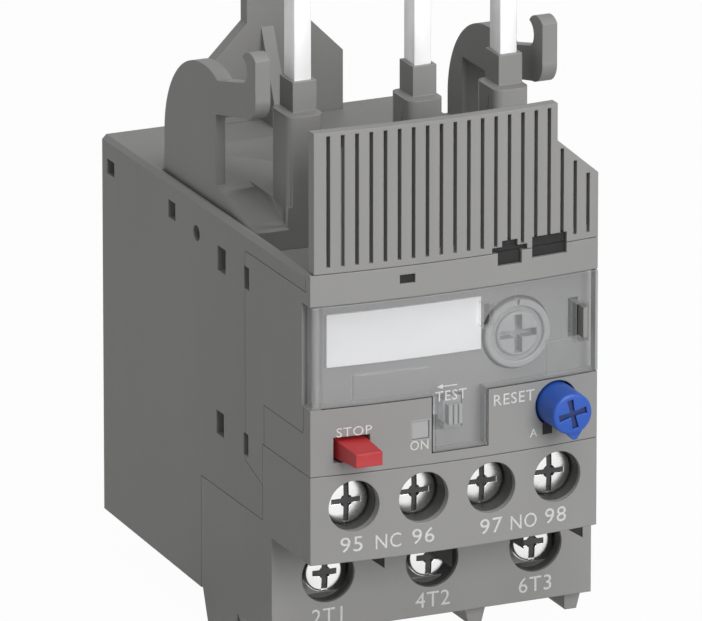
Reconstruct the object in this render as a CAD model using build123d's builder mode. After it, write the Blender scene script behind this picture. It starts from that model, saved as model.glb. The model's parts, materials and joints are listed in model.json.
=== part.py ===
"""Thermal overload relay, as an assembly of separate pieces.

Millimetres, +X to the right, +Y to the rear, +Z up. The origin is at the rear wall, in the middle
of the width, on the surface that the relay stands on.
"""

import math
import os

from build123d import *

# Housing envelope
BODY_WIDTH = 45.0
HALF = BODY_WIDTH / 2
RIM_Z = 56.6
WALL = 1.8
SEAM_GAP = 0.1
SLOT_FIT = 0.1
AHEAD_Y = -75.0
LOW_FACE_Y = -54.2
MODULE_CORNER_Y = -66.3
MODULE_LEFT = -HALF
MODULE_WIDTH = 40.0
MODULE_RIGHT = MODULE_LEFT + MODULE_WIDTH
MODULE_MID = MODULE_LEFT + MODULE_WIDTH / 2
FACE_SAG = 1.2

# Heights of the main seams and steps
REAR_BOTTOM_Z = 5.3
STEP_BOTTOM_Z = 4.4
BLOCK_BOTTOM_Z = 4.5
BLOCK_TOP_Z = 19.7
OVERHANG_Z = 18.1
CONTROL_Z = 29.9
SIDE_SEAM_TOP_Z = 54.2
TAB_SEAM_Z = (26.0, 24.3)
WELL_FLOOR_Z = 53.5
DECK_Z = 59.1
GRILLE_TOP_Z = 75.3

# Depths of the side seams
BLOCK_SEAM_Y = -31.8
BASE_FRONT_Y = -46.0
LOW_SEAM_Y = -51.4
WELL_REAR_Y = -17.0
DECK_FRONT_Y = -46.1
RIM_WALL = 1.0
GROOVE = 0.4
CARRIER_HALF = HALF - RIM_WALL - GROOVE
LATCH_WINDOWS = (
    (-2.8, 52.8, 2.4, 2.0),
    (-22.7, 52.8, 2.3, 2.4),
    (-38.6, 50.7, 2.6, 3.3),
    (-38.0, 28.5, 2.4, 3.2),
)
LATCH_HOLE = (-30.6, 52.0, 1.05)
SEAM_SLOTS = ((-46.5, 50.6, 1.6, 3.0), (-46.2, 28.2, 1.5, 3.0))
RIM_BEVEL = 0.6

# Poles: conductor bars at the top, screw terminals at the bottom
BLADE_X = (-HALF + 9.1, 3.35, HALF - 7.1)
BLADE_WIDTH = 2.4
BLADE_DEPTH = 3.2
BLADE_FRONT_Y = -43.7
BLADE_TOP_Z = 90.6
BLADE_BOTTOM_Z = 44.0
BLADE_FIT = 0.1
POLE_PITCH = (BODY_WIDTH - 1.2) / 3
TERMINAL_X = (-POLE_PITCH, 0.0, POLE_PITCH)
TERMINAL_Z = 12.0

# Auxiliary screws
AUX_PITCH = (MODULE_WIDTH - 2.2) / 4
AUX_X = tuple(MODULE_MID + (k - 1.5) * AUX_PITCH for k in range(4))
AUX_Z = 25.5
AUX_HOLE_R = 3.4

# Cover and its recess in the face
COVER_TOP_Z = 52.3
COVER_BOTTOM_Z = 38.9
COVER_THICK = 1.3
COVER_GAP = 0.15
RECESS_DEPTH = 2.6
COVER_SLOT = (MODULE_MID + 4.2, 48.6, 1.4, 3.2)
LABEL_X = (MODULE_MID - 16.9, MODULE_MID + 4.2)
LABEL_Z = (43.5, 50.5)
TAB_LEFT = MODULE_MID - 3.5
TAB_RIGHT = MODULE_MID + 4.1
TAB_BOTTOM_Z = 31.4
FRONT_WALL = 5.0
PIN_R = 0.5
PIN_FIT = 0.06

# Controls
DIAL_X = MODULE_MID + 9.3
DIAL_Z = 44.9
DIAL_R = 4.6
DIAL_SHAFT_R = 1.6
DIAL_THICK = 2.2
DIAL_RING_R = 3.6
DIAL_HUB_R = 2.9
CAM_R = 3.0
CAM_THROW = 0.8
STOP_X = MODULE_MID - 14.5
STOP_Z = 33.2
STOP_WIDTH = 4.6
STOP_HEIGHT = 3.1
STOP_PROUD = 4.6
RESET_X = MODULE_MID + 14.0
RESET_Z = 35.4
RESET_R = 2.8
RESET_PROUD = 5.0
CONTROL_FIT = 0.15
KNOB_FIT = 0.25
FLAG_X = MODULE_MID - 5.2
FLAG_Z = 34.6
FLAG_WINDOW = 2.4
TEST_LEFT = MODULE_MID - 3.3
TEST_RIGHT = MODULE_MID + 1.7
TEST_BOTTOM_Z = 33.4
TEST_TOP_Z = 38.0
PARTITION_FRONT_Y = -47.4

# Screws
MAIN_HEAD_R = 3.1
MAIN_SHANK_R = 2.0
AUX_HEAD_R = 2.9
AUX_SHANK_R = 1.75
THREAD_FIT = 0.05
HEAD_HIGH = 2.2
HEAD_BEVEL = 0.5
SLOT_WIDE = 0.9
SLOT_DEEP = 1.0
CROSS_DEEP = 1.4

# Inside of the control housing
CONTROL_FLOOR = 1.0
INNER_FACE_Y = MODULE_CORNER_Y + FRONT_WALL
HEADER_BACK_Y = MODULE_CORNER_Y + WALL
RIM_END_Y = MODULE_CORNER_Y + 1.4
HINGE_X = MODULE_LEFT + 1.2
HINGE_Y = -65.3
HINGE_POCKET_R = 1.8
KNUCKLE_R = 1.0
PIN_SEAT = 1.2
DIAL_BACK_Y = -63.3
DIAL_TAIL_Y = -58.9
RESET_LIP_Y = -62.0
RESET_BACK_Y = -64.2
RESET_STEM_R = 1.8
RESET_STUB_R = 1.3
STUB_LENGTH = 4.0
POINTER = ((-0.9, -2.4), (0.4, -3.6), (1.7, -2.0))
FLANGE_BACK_Y = -60.0
TEST_FLOOR_Y = -63.4
TEST_STEM_TOP_Z = 34.7
MARKER_THICK = 0.5
MARKER_X = (TEST_LEFT + 0.1, TEST_LEFT + 2.1)
MARKER_Z = (35.2, 37.6)
LUG_X = (MODULE_RIGHT - 2.2, MODULE_RIGHT - 1.6)
LUG_Z = (43.6, 47.6)
LUG_WELL = 0.6
LUG_WELL_DEEP = 3.4
LUG_SLOT_X = (LUG_X[0] - 1.5 * LUG_WELL, LUG_X[1] + 0.5 * LUG_WELL)
LUG_PROUD = 0.3
STATUS_SLOT = (MODULE_MID - 7.0, 54.9, 2.1, 1.2)
TEST_EDGE = 0.2
TEST_HANDLE_X = (TEST_RIGHT - 2.7, TEST_RIGHT - 0.4)
PANE_THICK = 0.8
PANE_FIT = 0.05
LABEL_THICK = 0.4
PARTITION_REAR_Y = -46.2
SPRING_SEAT_Y = -52.0
SEAT_R = 2.3
SPRING_PIN_R = 0.9
SPRING_PIN_GAP = 3.2
SPRING_R = 1.45
SPRING_WIRE_R = 0.25
SPRING_TURNS = 6

# Terminals and contacts
FOOT_FRONT_Y = -51.5
FOOT_TAPER = 2.1
FOOT_MID_Y = -43.5
FRONT_FOOT_Z = 1.5
FOOT_NARROW = 0.8
SIDE_FOOT = 3.2
MID_FOOT = 3.4
NOTCHES = ((-9.3, -6.7, 11.8), (-1.0, 2.9, 10.4), (9.9, 13.0, 11.6), (18.6, 21.3, 12.0))
NOTCH_SHOULDER_Z = 13.8
NOTCH_TOP_Z = 14.8
NOTCH_DEEP = 8.0
POCKET_HALF = 5.4
POCKET_REAR_Y = -36.5
POCKET_ROOF = 1.4
AUX_POCKET_ROOF = 1.2
MAIN_HOLE_R = 3.7
AUX_POCKET_HALF = 4.0
AUX_POCKET_FRONT_Y = -64.5
AUX_RELIEF_R = 2.2
AUX_RELIEF_Y = -53.0
STRAP_X = (AUX_X[0] + 2.5, AUX_X[1], AUX_X[2], AUX_X[3] - 3.0)
STRAP_Y = (-55.8, -57.0)
STRAP_WIDE = 1.7
STRAP_TOP_Z = (34.5, 39.4, 39.4, 34.5)
LEAF_X = (MODULE_MID - 10.9, MODULE_MID + 10.8)
LEAF_BOTTOM_Z = 34.65
LEAF_TOP_Z = 41.2
LEAF_THICK = 0.4
BUTTON_REACH = 0.85
CONTACT_Z = 38.6
CONTACT_R = 0.8
FIXED_TIP_X = (LEAF_X[0] + 1.55, LEAF_X[1] - 3.0)
WASHER_Y = (-61.2, -62.2)
WASHER_WIDE = 6.4
WASHER_HIGH = 6.0
AUX_PLATE_Z = (21.4, 28.5)
AUX_HEAD_Y = -64.45
MAIN_HEAD_Y = -53.6
TONGUE_Y = (-45.2, -46.6)
TONGUE_HALF = 3.4
TONGUE_BOTTOM_Z = 8.0
CLAMP_Y = (-38.7, -48.9)
CLAMP_Z = (7.8, 16.2)
CLAMP_HALF = 4.8
CLAMP_SIDE = 1.0
CLAMP_BACK = 1.4
CLAMP_FRONT = 1.6

# Bimetals, heaters and trip train
STRIP_Y = (BLADE_FRONT_Y + BLADE_DEPTH + 5.1, BLADE_FRONT_Y + BLADE_DEPTH + 0.1)
STRIP_BOTTOM_Z = 22.6
STRIP_TOP_Z = 49.0
HEATER_BOTTOM_Z = 28.0
HEATER_TURNS = 7
HEATER_PITCH = 2.0
HEATER_RIBBON = 1.0
HEATER_WIDE = 4.0
HEATER_LAYER = 0.7
HEATER_CLEAR = 0.4
BAR_WIDE = 2.4
BAR_ARM_Z = (24.0, 25.4)
BAR_RISER_Y = (-41.8, -43.0)
SLIDER_Y = (-31.9, -34.8)
CARRIER_MID_Z = 42.4
LEVER_X = HALF - 3.6
LEVER_Z = 33.0
LEVER_SHAFT_R = 1.0
LEVER_BOSS_R = 1.6
REAR_ARM_Y = (-32.6, -33.9)
FRONT_ARM_Y = (-50.6, -51.8)
BEARING_Y = (REAR_ARM_Y[0] + 1.6, REAR_ARM_Y[0] + 0.3)
BEARING_HIGH = 4.0
BEARING_REACH = 1.8
SLIDER_RIB_Y = (SLIDER_Y[0] - 0.5, SLIDER_Y[0] - 1.5)
CARRIER_HIGH = 2.0
CARRIER_Y = (-53.8, -55.8)
CARRIER_X = (MODULE_LEFT + 7.9, MODULE_RIGHT - 2.3)
SLIDER_X = (-HALF + 5.5, HALF - 6.6)
SLIDER_Z = (23.0, 26.5)
LEVER_WIDE = 1.2
LEVER_FIT = 0.1
REAR_ARM_SHIFT = 1.2
PUSH_Z = (24.25, 24.95)
FINGER_X = (0.7, 1.9)
FINGER_REACH = 2.2
FLAG_ARM_X = (MODULE_MID - 8.7, MODULE_MID - 7.5)
FLAG_END = 1.7
FLAG_Y = (-60.2, -60.9)


# Top pieces
HOOK_THICK = 2.1
HOOK_FRONT_Y = -46.2
STEM_FRONT_Y = -33.7
HOOK_BACK_Z = 62.2
HOOK_SHOULDER = (-20.2, 70.0)
HOOK_APEX = (-29.3, 74.2)
HOOK_CREST = (-32.0, 74.0)
HOOK_DIP = (-34.2, 73.2)
THROAT_END = (-42.3, 75.2)
THROAT_BACK = (-43.6, 77.0)
THROAT_LIP = (-42.2, 78.6)
HOOK_CROWN = (-44.4, 79.7)
HOOK_NOSE_Z = 79.0
HOOK_CHIN_Z = 74.0
HOOK_JAW = (-45.4, 71.6)
HOOK_KNEE = (-43.2, 70.7)
HOOK_ARM_Z = 68.6
COLUMN_TOP_Z = 71.0
COLLAR_TOP_Z = 75.0
BRACKET_TOP_Z = 81.5
BRACKET_MID = 1.25
BRACKET_Y = (-0.5, -2.5)
BRACKET_HALF = 9.45
BRACKET_NECK = 4.25
BRACKET_SHOULDER_Z = (64.7, 69.9)
GUSSET_X = BRACKET_MID - 1.3
GUSSET_REACH = 5.5
GUSSET_THICK = 1.8
NOSE_HIGH = 3.5
NOSE_REACH = 1.6
NOSE_WIDE = 6.4
BRACKET_KEY_HALF = 7.5
BRACKET_KEY_Y = (-0.9, -2.2)
KEY_FLOOR = 4.1
COLUMN_X = (-3.0, 1.9)
COLUMN_Y = (BLADE_FRONT_Y + 3.6, BLADE_FRONT_Y - 2.0)
COLUMN_ROUND = 1.2
COLLAR_HALF = 1.65
COLLAR_Y = (BLADE_FRONT_Y + 3.5, BLADE_FRONT_Y - 0.6)
PLATE_THICK = 1.6
GRILLE_INSET = 0.5
GROOVE_FIRST_X = MODULE_LEFT + 2.4
GROOVE_PITCH = 1.9
GROOVE_COUNT = 20
GROOVE_DEEP = 1.2
GROOVE_WIDE = 0.5
CORNER_CUT = ((MODULE_RIGHT - 6.0, 70.4), (MODULE_RIGHT + 1, 64.4))
LEG_X = (MODULE_MID - 15.5, MODULE_MID - 1.5, MODULE_MID + 17.1)
LEG_WIDE = 3.2
LEG_THICK = 1.3
RIB_REACH = 3.0
CLIP_NOTCHES = ((4.7, 9.7, 0.7), (6.1, 8.3, 1.5), (10.4, 15.4, 1.4))
CLIP_SLOTS = ((5.5, 8.9, 54.9), (10.4, 15.4, 55.3))

SIDE_WALLS = ((-HALF - 1, -HALF + WALL + 0.5), (HALF - WALL - 0.5, HALF + 1))
ARC_HALF_CHORD = MODULE_WIDTH / 2
FACE_R = (ARC_HALF_CHORD**2 + FACE_SAG**2) / (2 * FACE_SAG)
FACE_CENTRE_Y = MODULE_CORNER_Y + math.sqrt(FACE_R**2 - ARC_HALF_CHORD**2)


def front_y(x, depth=0.0):
    """Y of the convex front face at x, that far below its surface."""
    return FACE_CENTRE_Y - math.sqrt((FACE_R - depth) ** 2 - (x - MODULE_MID) ** 2)


def block(x, y, z, mode=Mode.ADD):
    """Box between pairs of limits, in the open part."""
    with Locations((sum(x) / 2, sum(y) / 2, sum(z) / 2)):
        Box(abs(x[1] - x[0]), abs(y[1] - y[0]), abs(z[1] - z[0]), mode=mode)


def rod_y(x, z, y, radius, mode=Mode.ADD):
    """Round rod along Y between two depths, in the open part."""
    with BuildSketch(Plane.XZ.offset(-y[0])) as profile:
        with Locations((x, z)):
            Circle(radius)
    extrude(profile.sketch, amount=y[0] - y[1], mode=mode)


def rod_z(x, y, z, radius, mode=Mode.ADD):
    """Round rod along Z between two heights, in the open part."""
    with BuildSketch(Plane.XY.offset(z[0])) as profile:
        with Locations((x, y)):
            Circle(radius)
    extrude(profile.sketch, amount=z[1] - z[0], mode=mode)


def rod_x(y, z, x, radius, mode=Mode.ADD):
    """Round rod along X between two limits, in the open part."""
    low, high = min(x), max(x)
    with BuildSketch(Plane.YZ.offset(low)) as profile:
        with Locations((y, z)):
            Circle(radius)
    extrude(profile.sketch, amount=high - low, mode=mode)


def span(middle, width):
    """Pair of limits about a middle."""
    return (middle - width / 2, middle + width / 2)


def around(x, z, width, height, y):
    """Rectangular opening along Y about a point of the front."""
    block(span(x, width), y, span(z, height), Mode.SUBTRACT)


def side_windows(windows):
    """Rectangular windows through both side walls, in the open part."""
    for wall_x in SIDE_WALLS:
        for y, z, wide, high in windows:
            block(wall_x, span(y, wide), span(z, high), Mode.SUBTRACT)


def tongue_slot(x, z):
    """Slot through a floor for one terminal bar."""
    slot_y = (TONGUE_Y[0] + SLOT_FIT, TONGUE_Y[1] - SLOT_FIT)
    block(span(x, 2 * (TONGUE_HALF + SLOT_FIT)), slot_y, z, Mode.SUBTRACT)


def strap_slot(x, z):
    """Slot through a floor for one contact strap."""
    slot_y = (STRAP_Y[0] + SLOT_FIT, STRAP_Y[1] - SLOT_FIT)
    block(span(x, STRAP_WIDE + 3 * SLOT_FIT), slot_y, z, Mode.SUBTRACT)


def cross_slot(x, z, length, front):
    """Cross-shaped slot for a screwdriver in a round front."""
    slot_y = (front + SLOT_DEEP, front - 1)
    around(x, z, length, SLOT_WIDE, slot_y)
    around(x, z, SLOT_WIDE, length, slot_y)


def side_prism(points, x, mode=Mode.ADD):
    """Prism along X between two limits, from (y, z) points."""
    with BuildSketch(Plane.YZ.offset(x[0])) as profile:
        with BuildLine():
            Polyline(*points, close=True)
        make_face()
    extrude(profile.sketch, amount=x[1] - x[0], mode=mode)


def face_prism(depths, rear_y, x, z, mode=Mode.ADD):
    """Prism along Z whose front follows the convex face and whose rear is flat, or follows it too."""
    depth, inner = depths
    stations = (x[0], sum(x) / 2, x[1])
    front = [(at, front_y(at, depth)) for at in stations]
    with BuildSketch(Plane.XY.offset(z[0])) as profile:
        with BuildLine():
            ThreePointArc(*front)
            if inner is None:
                Polyline(front[2], (x[1], rear_y), (x[0], rear_y), front[0])
            else:
                back = [(at, front_y(at, inner)) for at in stations]
                Line(front[2], back[2])
                ThreePointArc(*reversed(back))
                Line(back[0], front[0])
        make_face()
    extrude(profile.sketch, amount=z[1] - z[0], mode=mode)


def save(builder, name):
    """Label a finished piece and write it."""
    builder.part.label = name
    export_step(builder.part, f"parts/{name}.step")


def base_housing():
    """Deep rear moulding: an open-fronted shell with a well in its top."""
    inside = HALF - WALL
    with BuildPart() as part:
        side_prism(
            [
                (0, REAR_BOTTOM_Z),
                (0, RIM_Z),
                (RIM_END_Y, RIM_Z),
                (RIM_END_Y, SIDE_SEAM_TOP_Z),
                (BASE_FRONT_Y, SIDE_SEAM_TOP_Z),
                (BASE_FRONT_Y, TAB_SEAM_Z[0]),
                (LOW_SEAM_Y, TAB_SEAM_Z[1]),
                (LOW_SEAM_Y, BLOCK_TOP_Z),
                (BLOCK_SEAM_Y, BLOCK_TOP_Z),
                (BLOCK_SEAM_Y, STEP_BOTTOM_Z),
            ],
            (-HALF, HALF),
        )
        room_x = (-inside, inside)
        well_x = (-HALF + RIM_WALL, HALF - RIM_WALL)
        floor_z = BLOCK_TOP_Z + WALL
        ceiling_z = WELL_FLOOR_Z - WALL
        above_z = RIM_Z + 1
        block(room_x, (-WALL, BLOCK_SEAM_Y + WALL), (REAR_BOTTOM_Z + WALL, ceiling_z), Mode.SUBTRACT)
        block(room_x, (BLOCK_SEAM_Y + WALL + 1, AHEAD_Y), (floor_z, ceiling_z), Mode.SUBTRACT)
        # the well in the top, between thin rims
        block(well_x, (WELL_REAR_Y, AHEAD_Y), (WELL_FLOOR_Z, above_z), Mode.SUBTRACT)
        block(well_x, (BASE_FRONT_Y, AHEAD_Y), (TAB_SEAM_Z[1], above_z), Mode.SUBTRACT)
        # the right rim ends where the narrower module starts
        block((MODULE_RIGHT, HALF + 1), (LOW_FACE_Y, AHEAD_Y), (SIDE_SEAM_TOP_Z - 1, above_z), Mode.SUBTRACT)
        # conductor slots in the well floor
        for x in BLADE_X:
            half = BLADE_WIDTH / 2 + BLADE_FIT
            block(
                (x - half, x + half),
                (BLADE_FRONT_Y - BLADE_FIT, BLADE_FRONT_Y + BLADE_DEPTH + BLADE_FIT),
                (WELL_FLOOR_Z - WALL - 1, WELL_FLOOR_Z + 1),
                Mode.SUBTRACT,
            )
        # terminal bar slots in the lower floor
        for x in TERMINAL_X:
            tongue_slot(x, (BLOCK_TOP_Z - 1, floor_z + 1))
        # seat of the rear bracket
        key_y = (BRACKET_KEY_Y[0] + SLOT_FIT, BRACKET_KEY_Y[1] - SLOT_FIT)
        key_x = span(BRACKET_MID, 2 * (BRACKET_KEY_HALF + SLOT_FIT))
        block(key_x, key_y, (RIM_Z - KEY_FLOOR, above_z), Mode.SUBTRACT)
        # lug on the right wall that holds the rear end of the trip lever's shaft
        block((LEVER_X - BEARING_REACH, inside + 0.5), BEARING_Y, span(LEVER_Z, BEARING_HIGH))
        bore_y = (BEARING_Y[0] + 1, BEARING_Y[1] - 1)
        rod_y(LEVER_X, LEVER_Z, bore_y, LEVER_SHAFT_R + THREAD_FIT, Mode.SUBTRACT)
        # rib that the trip slider runs on
        block(SLIDER_X, SLIDER_RIB_Y, (floor_z - 0.5, SLIDER_Z[0] - THREAD_FIT))
        # latch windows in both side walls
        side_windows(LATCH_WINDOWS + SEAM_SLOTS)
        y, z, radius = LATCH_HOLE
        for wall_x in SIDE_WALLS:
            rod_x(y, z, wall_x, radius, Mode.SUBTRACT)
        # bevelled outer edges of the rim
        for side in (-1, 1):
            with BuildSketch(Plane.XZ.offset(-1)) as bevel:
                with BuildLine():
                    edge, low, high = side * HALF, RIM_Z - RIM_BEVEL, RIM_Z + 1
                    Polyline((edge, low), (edge, high), (edge - side * (RIM_BEVEL + 1), high), close=True)
                make_face()
            extrude(bevel.sketch, amount=1 - AHEAD_Y, mode=Mode.SUBTRACT)
    save(part, "base_housing")


def control_housing():
    """Upper front moulding with the convex control panel."""
    rear = BASE_FRONT_Y - SEAM_GAP
    floor_z = CONTROL_Z + CONTROL_FLOOR
    ceiling_z = WELL_FLOOR_Z - WALL
    with BuildPart() as part:
        block((-HALF, HALF), (rear, LOW_FACE_Y), (CONTROL_Z, SIDE_SEAM_TOP_Z - SEAM_GAP))
        face_prism((0, None), LOW_FACE_Y + 1, (MODULE_LEFT, MODULE_RIGHT), (CONTROL_Z, RIM_Z))
        # the well goes on behind the header
        well_x = (-HALF + RIM_WALL, HALF - RIM_WALL)
        block(well_x, (rear + 1, LOW_FACE_Y - 1), (WELL_FLOOR_Z, RIM_Z + 1), Mode.SUBTRACT)
        behind_header = (LOW_FACE_Y, HEADER_BACK_Y)
        block((well_x[0], MODULE_RIGHT + 1), behind_header, (WELL_FLOOR_Z, RIM_Z + 1), Mode.SUBTRACT)
        # room for the left rim of the base
        rim_z = (SIDE_SEAM_TOP_Z - SEAM_GAP, RIM_Z + 1)
        block((-HALF - 1, well_x[0]), (rear + 1, RIM_END_Y - SEAM_GAP), rim_z, Mode.SUBTRACT)
        # side tabs that reach down over the base
        for side in (-1, 1):
            tab_x = (side * (HALF - WALL), side * HALF)
            tab_z = (TAB_SEAM_Z[0] + SEAM_GAP, TAB_SEAM_Z[1] + SEAM_GAP)
            root_z = CONTROL_Z + 1
            tab = [(rear, root_z), (rear, tab_z[0]), (LOW_SEAM_Y, tab_z[1]), (LOW_SEAM_Y, root_z)]
            side_prism(tab, (min(tab_x), max(tab_x)))
        # inside, wide behind and narrow in front
        room_z = (floor_z, ceiling_z)
        block((-HALF + WALL, HALF - WALL), (rear + 1, LOW_FACE_Y + WALL), room_z, Mode.SUBTRACT)
        block((MODULE_LEFT + WALL, MODULE_RIGHT - WALL), (rear + 1, INNER_FACE_Y), room_z, Mode.SUBTRACT)
        # recess for the cover and its tab
        recess_z = (COVER_BOTTOM_Z - COVER_GAP, COVER_TOP_Z + COVER_GAP)
        face_prism((-1, RECESS_DEPTH), 0, (MODULE_LEFT - 1, MODULE_RIGHT + 1), recess_z, Mode.SUBTRACT)
        tab_x = (TAB_LEFT - COVER_GAP, TAB_RIGHT + COVER_GAP)
        face_prism((-1, RECESS_DEPTH), 0, tab_x, (TAB_BOTTOM_Z - COVER_GAP, COVER_BOTTOM_Z), Mode.SUBTRACT)
        rod_z(HINGE_X, HINGE_Y, recess_z, HINGE_POCKET_R, Mode.SUBTRACT)
        pin_z = (recess_z[0] - PIN_SEAT, recess_z[1] + PIN_SEAT)
        rod_z(HINGE_X, HINGE_Y, pin_z, PIN_R + PIN_FIT, Mode.SUBTRACT)
        # dial seat and shaft hole
        panel_y = (INNER_FACE_Y + 1, AHEAD_Y)
        rod_y(DIAL_X, DIAL_Z, (DIAL_BACK_Y, AHEAD_Y), DIAL_R + KNOB_FIT, Mode.SUBTRACT)
        rod_y(DIAL_X, DIAL_Z, panel_y, DIAL_SHAFT_R + THREAD_FIT, Mode.SUBTRACT)
        # openings for the stop button, the flag and the reset knob
        around(STOP_X, STOP_Z, STOP_WIDTH + 2 * CONTROL_FIT, STOP_HEIGHT + 2 * CONTROL_FIT, panel_y)
        around(FLAG_X, FLAG_Z, FLAG_WINDOW, FLAG_WINDOW, panel_y)
        rod_y(RESET_X, RESET_Z, (RESET_LIP_Y, AHEAD_Y), RESET_R + KNOB_FIT, Mode.SUBTRACT)
        rod_y(RESET_X, RESET_Z, panel_y, RESET_STEM_R + CONTROL_FIT, Mode.SUBTRACT)
        # test slider's window, marker pocket and slot
        test_x = (TEST_LEFT, TEST_RIGHT)
        block(test_x, (TEST_FLOOR_Y, AHEAD_Y), (TEST_BOTTOM_Z, TEST_TOP_Z), Mode.SUBTRACT)
        block(MARKER_X, (TEST_FLOOR_Y + MARKER_THICK, AHEAD_Y), MARKER_Z, Mode.SUBTRACT)
        stem_x = (TEST_LEFT + TEST_EDGE, TEST_RIGHT - TEST_EDGE)
        block(stem_x, panel_y, (TEST_BOTTOM_Z + TEST_EDGE, TEST_STEM_TOP_Z + TEST_EDGE), Mode.SUBTRACT)
        # status slot in the header and the lug that passes through the cover
        around(*STATUS_SLOT, (MODULE_CORNER_Y, AHEAD_Y))
        lug_floor_y = front_y(LUG_X[0], RECESS_DEPTH) + LUG_WELL_DEEP
        well_z = (LUG_Z[0] - LUG_WELL, LUG_Z[1] + LUG_WELL)
        block((LUG_SLOT_X[0], LUG_X[1]), (lug_floor_y, AHEAD_Y), well_z, Mode.SUBTRACT)
        block(LUG_X, (lug_floor_y + 0.5, front_y(LUG_X[1]) - LUG_PROUD), LUG_Z)
        # two clip slots between the header and the ribbed cover
        for left, right, bottom in CLIP_SLOTS:
            slot_x = (MODULE_MID + left, MODULE_MID + right)
            block(slot_x, (HEADER_BACK_Y + 1, AHEAD_Y), (bottom, RIM_Z + 1), Mode.SUBTRACT)
        # slots for the contact straps
        for x in STRAP_X:
            strap_slot(x, (CONTROL_Z - 1, floor_z + 1))
        side_windows(SEAM_SLOTS)
    save(part, "control_housing")


def terminal_housing():
    """Lower block with the main terminals, and the auxiliary terminal row above it."""
    top_z = BLOCK_TOP_Z - SEAM_GAP
    rear = BLOCK_SEAM_Y - SEAM_GAP
    row_rear = LOW_SEAM_Y - SEAM_GAP
    row_top_z = CONTROL_Z - SEAM_GAP
    with BuildPart() as part:
        block((-HALF, HALF), (rear, LOW_FACE_Y), (BLOCK_BOTTOM_Z, top_z))
        block((-HALF, HALF), (row_rear, LOW_FACE_Y), (OVERHANG_Z, row_top_z))
        face_prism((0, None), LOW_FACE_Y + 1, (MODULE_LEFT, MODULE_RIGHT), (OVERHANG_Z, row_top_z))
        # feet on both sides of every wire entry, low ones in front and full ones behind
        side_x = HALF - SIDE_FOOT / 2
        gap_x = POLE_PITCH / 2
        root_z = BLOCK_BOTTOM_Z + 1
        for x, wide in ((-side_x, SIDE_FOOT), (-gap_x, MID_FOOT), (gap_x, MID_FOOT), (side_x, SIDE_FOOT)):
            sole_y = (rear - FOOT_TAPER, FOOT_MID_Y + FOOT_TAPER / 2)
            foot = [(rear, root_z), (sole_y[0], 0), (sole_y[1], 0), (FOOT_MID_Y, root_z)]
            side_prism(foot, span(x, wide))
            top, sole = span(x, wide), span(x, wide - 2 * FOOT_NARROW)
            with BuildSketch(Plane.XZ.offset(-FOOT_MID_Y)) as low_foot:
                with BuildLine():
                    front_z = FRONT_FOOT_Z
                    points = [(top[0], root_z), (top[0], BLOCK_BOTTOM_Z), (sole[0], front_z)]
                    points += [(sole[1], front_z), (top[1], BLOCK_BOTTOM_Z), (top[1], root_z)]
                    Polyline(*points, close=True)
                make_face()
            extrude(low_foot.sketch, amount=FOOT_MID_Y - FOOT_FRONT_Y)
        # dark notches in the lower face, below the auxiliary row
        for left, right, tip_z in NOTCHES:
            with BuildSketch(Plane.XZ.offset(-LOW_FACE_Y - NOTCH_DEEP)) as notch:
                with BuildLine():
                    shoulder = (left, NOTCH_SHOULDER_Z)
                    Polyline((right, tip_z), (right, NOTCH_TOP_Z), (left, NOTCH_TOP_Z), shoulder, close=True)
                make_face()
            extrude(notch.sketch, amount=NOTCH_DEEP + 1, mode=Mode.SUBTRACT)
        # main terminal pockets, open downwards for the wires
        for x in TERMINAL_X:
            pocket_y = (POCKET_REAR_Y, LOW_FACE_Y + WALL)
            block(span(x, 2 * POCKET_HALF), pocket_y, (-1, top_z - POCKET_ROOF), Mode.SUBTRACT)
            tongue_slot(x, (top_z - POCKET_ROOF - 1, top_z + 1))
            rod_y(x, TERMINAL_Z, (pocket_y[1] + 1, LOW_FACE_Y - 1), MAIN_HOLE_R, Mode.SUBTRACT)
        # auxiliary terminal pockets, also open downwards
        pocket_y = (STRAP_Y[0] + SLOT_FIT, AUX_POCKET_FRONT_Y)
        pocket_z = (OVERHANG_Z - 1, row_top_z - AUX_POCKET_ROOF)
        for x, strap in zip(AUX_X, STRAP_X):
            block(span(x, 2 * AUX_POCKET_HALF), pocket_y, pocket_z, Mode.SUBTRACT)
            rod_y(x, AUX_Z, (AUX_POCKET_FRONT_Y + 0.5, AHEAD_Y), AUX_HOLE_R, Mode.SUBTRACT)
            # room for the screw's tip when it is driven in
            rod_y(x, AUX_Z, (AUX_RELIEF_Y, pocket_y[0] - 1), AUX_RELIEF_R, Mode.SUBTRACT)
            strap_slot(strap, (pocket_z[1] - 1, row_top_z + 1))
    save(part, "terminal_housing")


def hook_outline(x):
    """Side view of one hook, as a sketch on the plane at x."""
    rear = WELL_REAR_Y - 0.2
    foot = DECK_Z - 1
    nose_top = (HOOK_FRONT_Y, HOOK_NOSE_Z)
    nose_low = (HOOK_FRONT_Y, HOOK_CHIN_Z)
    with BuildSketch(Plane.YZ.offset(x)) as outline:
        with BuildLine():
            Line((rear, foot), (rear, HOOK_BACK_Z))
            ThreePointArc((rear, HOOK_BACK_Z), HOOK_SHOULDER, HOOK_APEX)
            ThreePointArc(HOOK_APEX, HOOK_CREST, HOOK_DIP)
            Line(HOOK_DIP, THROAT_END)
            ThreePointArc(THROAT_END, THROAT_BACK, THROAT_LIP)
            ThreePointArc(THROAT_LIP, HOOK_CROWN, nose_top)
            Line(nose_top, nose_low)
            ThreePointArc(nose_low, HOOK_JAW, HOOK_KNEE)
            Polyline(HOOK_KNEE, (STEM_FRONT_Y, HOOK_ARM_Z), (STEM_FRONT_Y, foot), (rear, foot))
        make_face()
    return outline.sketch


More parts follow.
